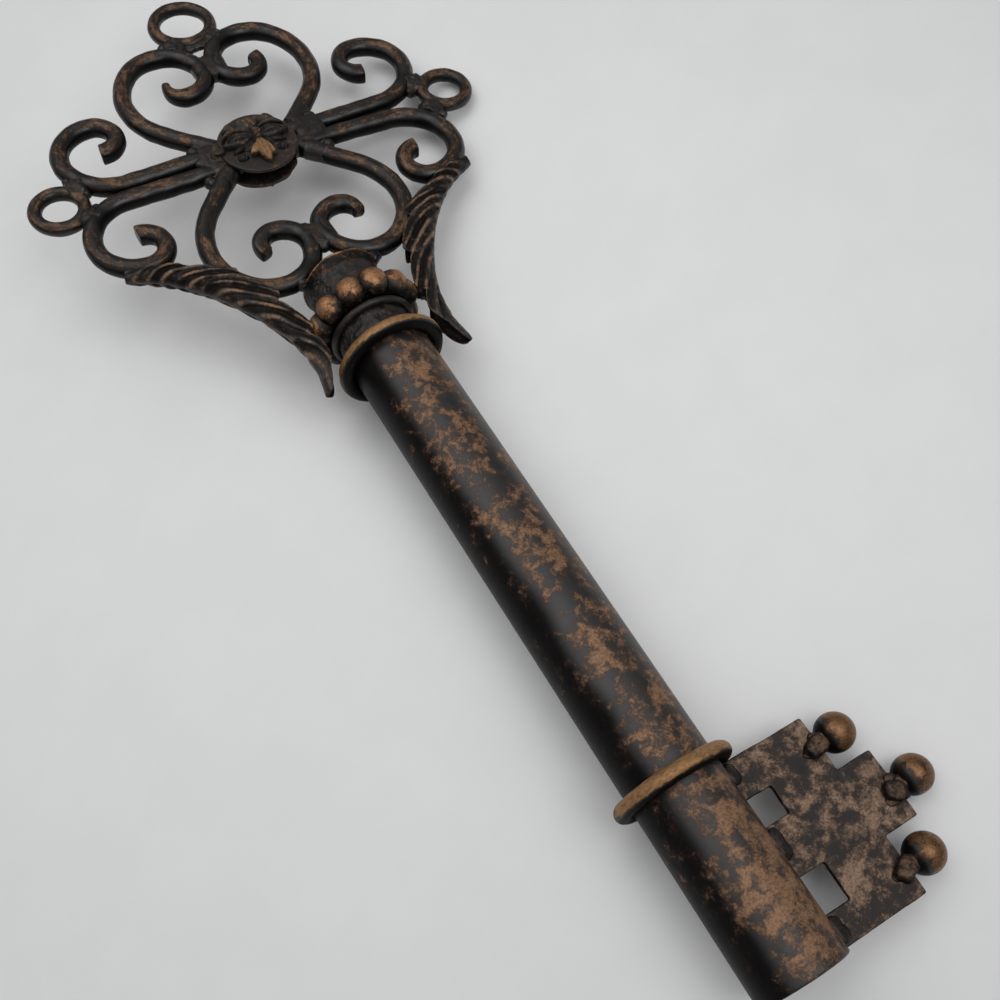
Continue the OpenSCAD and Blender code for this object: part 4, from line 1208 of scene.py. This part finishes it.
def ring_welds():
    """Two welds to a ring."""
    parts = []
    for x in (-1, 1):
        spot = Vector((x * WELD_SPOTS[1][0], WELD_SPOTS[1][1], 0))
        ahead = (Vector((0, TOP_RING_Y, 0)) - Vector((x * HEART_CROWN[0], LOBE_Y, 0))).normalized()
        parts += ring_weld(spot, ahead, 1.0 + x)
        for y in (-1, 1):
            spot = Vector((x * WELD_SPOTS[2][0], y * WELD_SPOTS[2][1], 0))
            bend = Vector((x * SIDE_BEND[0], y * SIDE_BEND[1], 0))
            ahead = (Vector((x * SIDE_RING_X, 0, 0)) - bend).normalized()
            parts += ring_weld(spot + Vector(SIDE_RING_OFF[x]) / 2, ahead, 4.0 + x + 2 * y)
    # Runs of weld metal from the left lobe along the foot of the top ring
    low = TOP_RING_Y - TOP_RING_R - RING_ROD_R
    parts.append(bow_stub((-9.0, low - 1.0, 0), (5.0, low - 0.4, 0), 2.2, 1.7))
    remeshed("ring_welds", parts, "weld", smooth=6, rough=0.38, rough_size=2.6, rub_and_light=on_both_sides(0.5))


def collar_welds():
    """Lumps of weld between the collar's rim and the lower heart."""
    rim_mid_r = BORE_R + RIM_FLARE - 0.8
    x_weld = math.sqrt(rim_mid_r**2 - BOW_LIFT**2)
    rim_top = RIM_Y + RIM_H
    parts = []
    for x in (-1, 1):
        parts.append(egg(LYING, (x * x_weld, rim_top + 1.2, BOW_LIFT), (3.2, 2.7, 3.2)))
        parts.append(egg(LYING, (x * (x_weld + 2.2), rim_top + 2.2, BOW_LIFT - 0.8), (2.6, 2.0, 2.6)))
    remeshed("collar_welds", parts, "weld", voxel=0.3, smooth=5, rough=0.35, rough_size=1.8)


def leaf_welds():
    """Plugs of weld that hold the leaves to the beads and to the lower heart."""
    plug = ROD_R + 0.2
    heart_plug = knot_curve(LEAF_BACK, 4.2)
    bead_plug_x = BEAD_CIRCLE_R + BEAD_R + plug / 2 - 0.6
    parts = []
    for x in (-1, 1):
        parts.append(bow_egg((x * bead_plug_x, BEAD_Y - BOW_Y, 0), (plug, plug, plug)))
        parts.append(bow_egg((x * (heart_plug.x - plug), heart_plug.y + plug, 0), (plug, plug, plug)))
    remeshed("leaf_welds", parts, "weld", rough=0.3)


def carried_over():
    """The hidden pieces keep their own solids, with a finish."""
    for node in ("thin_collar_ring", "collar_cap", "centre_rivet"):
        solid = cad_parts[node]
        solid.data.materials.clear()
        solid.data.materials.append(MATERIALS["dark"])


shaft_tube()
head_spigot()
collar_rim()
bead_band()
rings()
scrolls()
leaf("right_leaf", 1, 5.0)
leaf("left_leaf", -1, 25.0)
disc("front_disc", ROD_R, False, 1.0, FRONT_DISC_OFF)
disc("rear_disc", -ROD_R - DISC_T, True, 8.0, REAR_DISC_OFF)
ornament("front_rosette", False)
ornament("rear_rosette", True)
bit_plate()
balls()
ball_stems()
bit_welds()
junction_welds()
heart_welds()
ring_welds()
collar_welds()
leaf_welds()
carried_over()


# Camera, as the photograph was taken: the key's own frame to the picture
FOCAL_PX = 1060.1
PRINCIPAL_Y_PX = 575.04
PICTURE_PX = 1000.0
SENSOR = 36.0
CAMERA_RIGHT = Vector((0.857860, -0.508047, 0.077226))
CAMERA_DOWN = Vector((-0.422950, -0.783397, -0.455414))
CAMERA_AHEAD = Vector((0.291871, 0.358019, -0.886924))
CAMERA_PLACE = Vector((-121.72, 28.44, 336.12))


def camera():
    data = bpy.data.cameras.new("camera")
    data.sensor_width = SENSOR
    data.lens = SENSOR * FOCAL_PX / PICTURE_PX
    data.shift_y = (PRINCIPAL_Y_PX - PICTURE_PX / 2) / PICTURE_PX
    data.clip_start = 0.01
    data.clip_end = 20.0
    data.dof.use_dof = False
    eye = bpy.data.objects.new("camera", data)
    bpy.context.scene.collection.objects.link(eye)
    turn = Matrix((CAMERA_RIGHT, -CAMERA_DOWN, -CAMERA_AHEAD)).transposed().to_4x4()
    eye.matrix_world = LYING @ Matrix.Translation(CAMERA_PLACE * MM) @ turn
    bpy.context.scene.camera = eye


def floor():
    low = cad_box[0].z
    size = 3.0
    mesh = bpy.data.meshes.new("floor")
    corners = [(-size, -size, low), (size, -size, low), (size, size, low), (-size, size, low)]
    mesh.from_pydata(corners, [], [(0, 1, 2, 3)])
    table = bpy.data.objects.new("floor", mesh)
    bpy.context.scene.collection.objects.link(table)
    net = Net("pale_table")
    grain = net.noise(net.place, 40.0, 4.0, 0.6)
    net.set("Base Color", net.mix(net.step(grain, 0.3, 0.7), linear(243, 243, 243), linear(246, 246, 246)))
    net.set("Roughness", 0.6)
    net.set("Specular IOR Level", 0.3)
    mesh.materials.append(net.material)


def lamp(name, place, size, power, aim, spread):
    """A square lamp at a place in metres, aimed at another."""
    data = bpy.data.lights.new(name, "AREA")
    data.shape = "RECTANGLE"
    data.size, data.size_y = size, size
    data.energy = power
    data.spread = math.radians(spread)
    light = bpy.data.objects.new(name, data)
    light.location = place
    light.rotation_euler = (Vector(aim) - Vector(place)).to_track_quat("-Z", "Y").to_euler()
    bpy.context.scene.collection.objects.link(light)


def room():
    """A dim white room, brightest overhead."""
    dimmest, brightest = 0.04, 0.53
    world = bpy.data.worlds.new("room")
    world.use_nodes = True
    nodes, links = world.node_tree.nodes, world.node_tree.links
    background = nodes["Background"]
    place = nodes.new("ShaderNodeTexCoord")
    split = nodes.new("ShaderNodeSeparateXYZ")
    links.new(place.outputs["Generated"], split.inputs[0])
    up = nodes.new("ShaderNodeMapRange")
    up.inputs["To Min"].default_value = dimmest
    up.inputs["To Max"].default_value = brightest
    links.new(split.outputs["Z"], up.inputs["Value"])
    links.new(up.outputs["Result"], background.inputs["Strength"])
    background.inputs["Color"].default_value = (0.98, 0.99, 1.0, 1.0)
    bpy.context.scene.world = world


def lights():
    """A lamp from the near right for the soft shadows, a broad one overhead for the sheen, and a dim room."""
    lamp("near_lamp", place=(0.24, -0.04, 0.6), size=0.42, power=0.55, aim=(-0.03, 0.4, 0.0), spread=110)
    lamp("ceiling", place=(-0.15, 0.7, 0.9), size=1.0, power=1.0, aim=(-0.05, 0.44, 0.0), spread=90)
    room()


camera()
floor()
lights()
bpy.context.scene.view_settings.view_transform = "Standard"
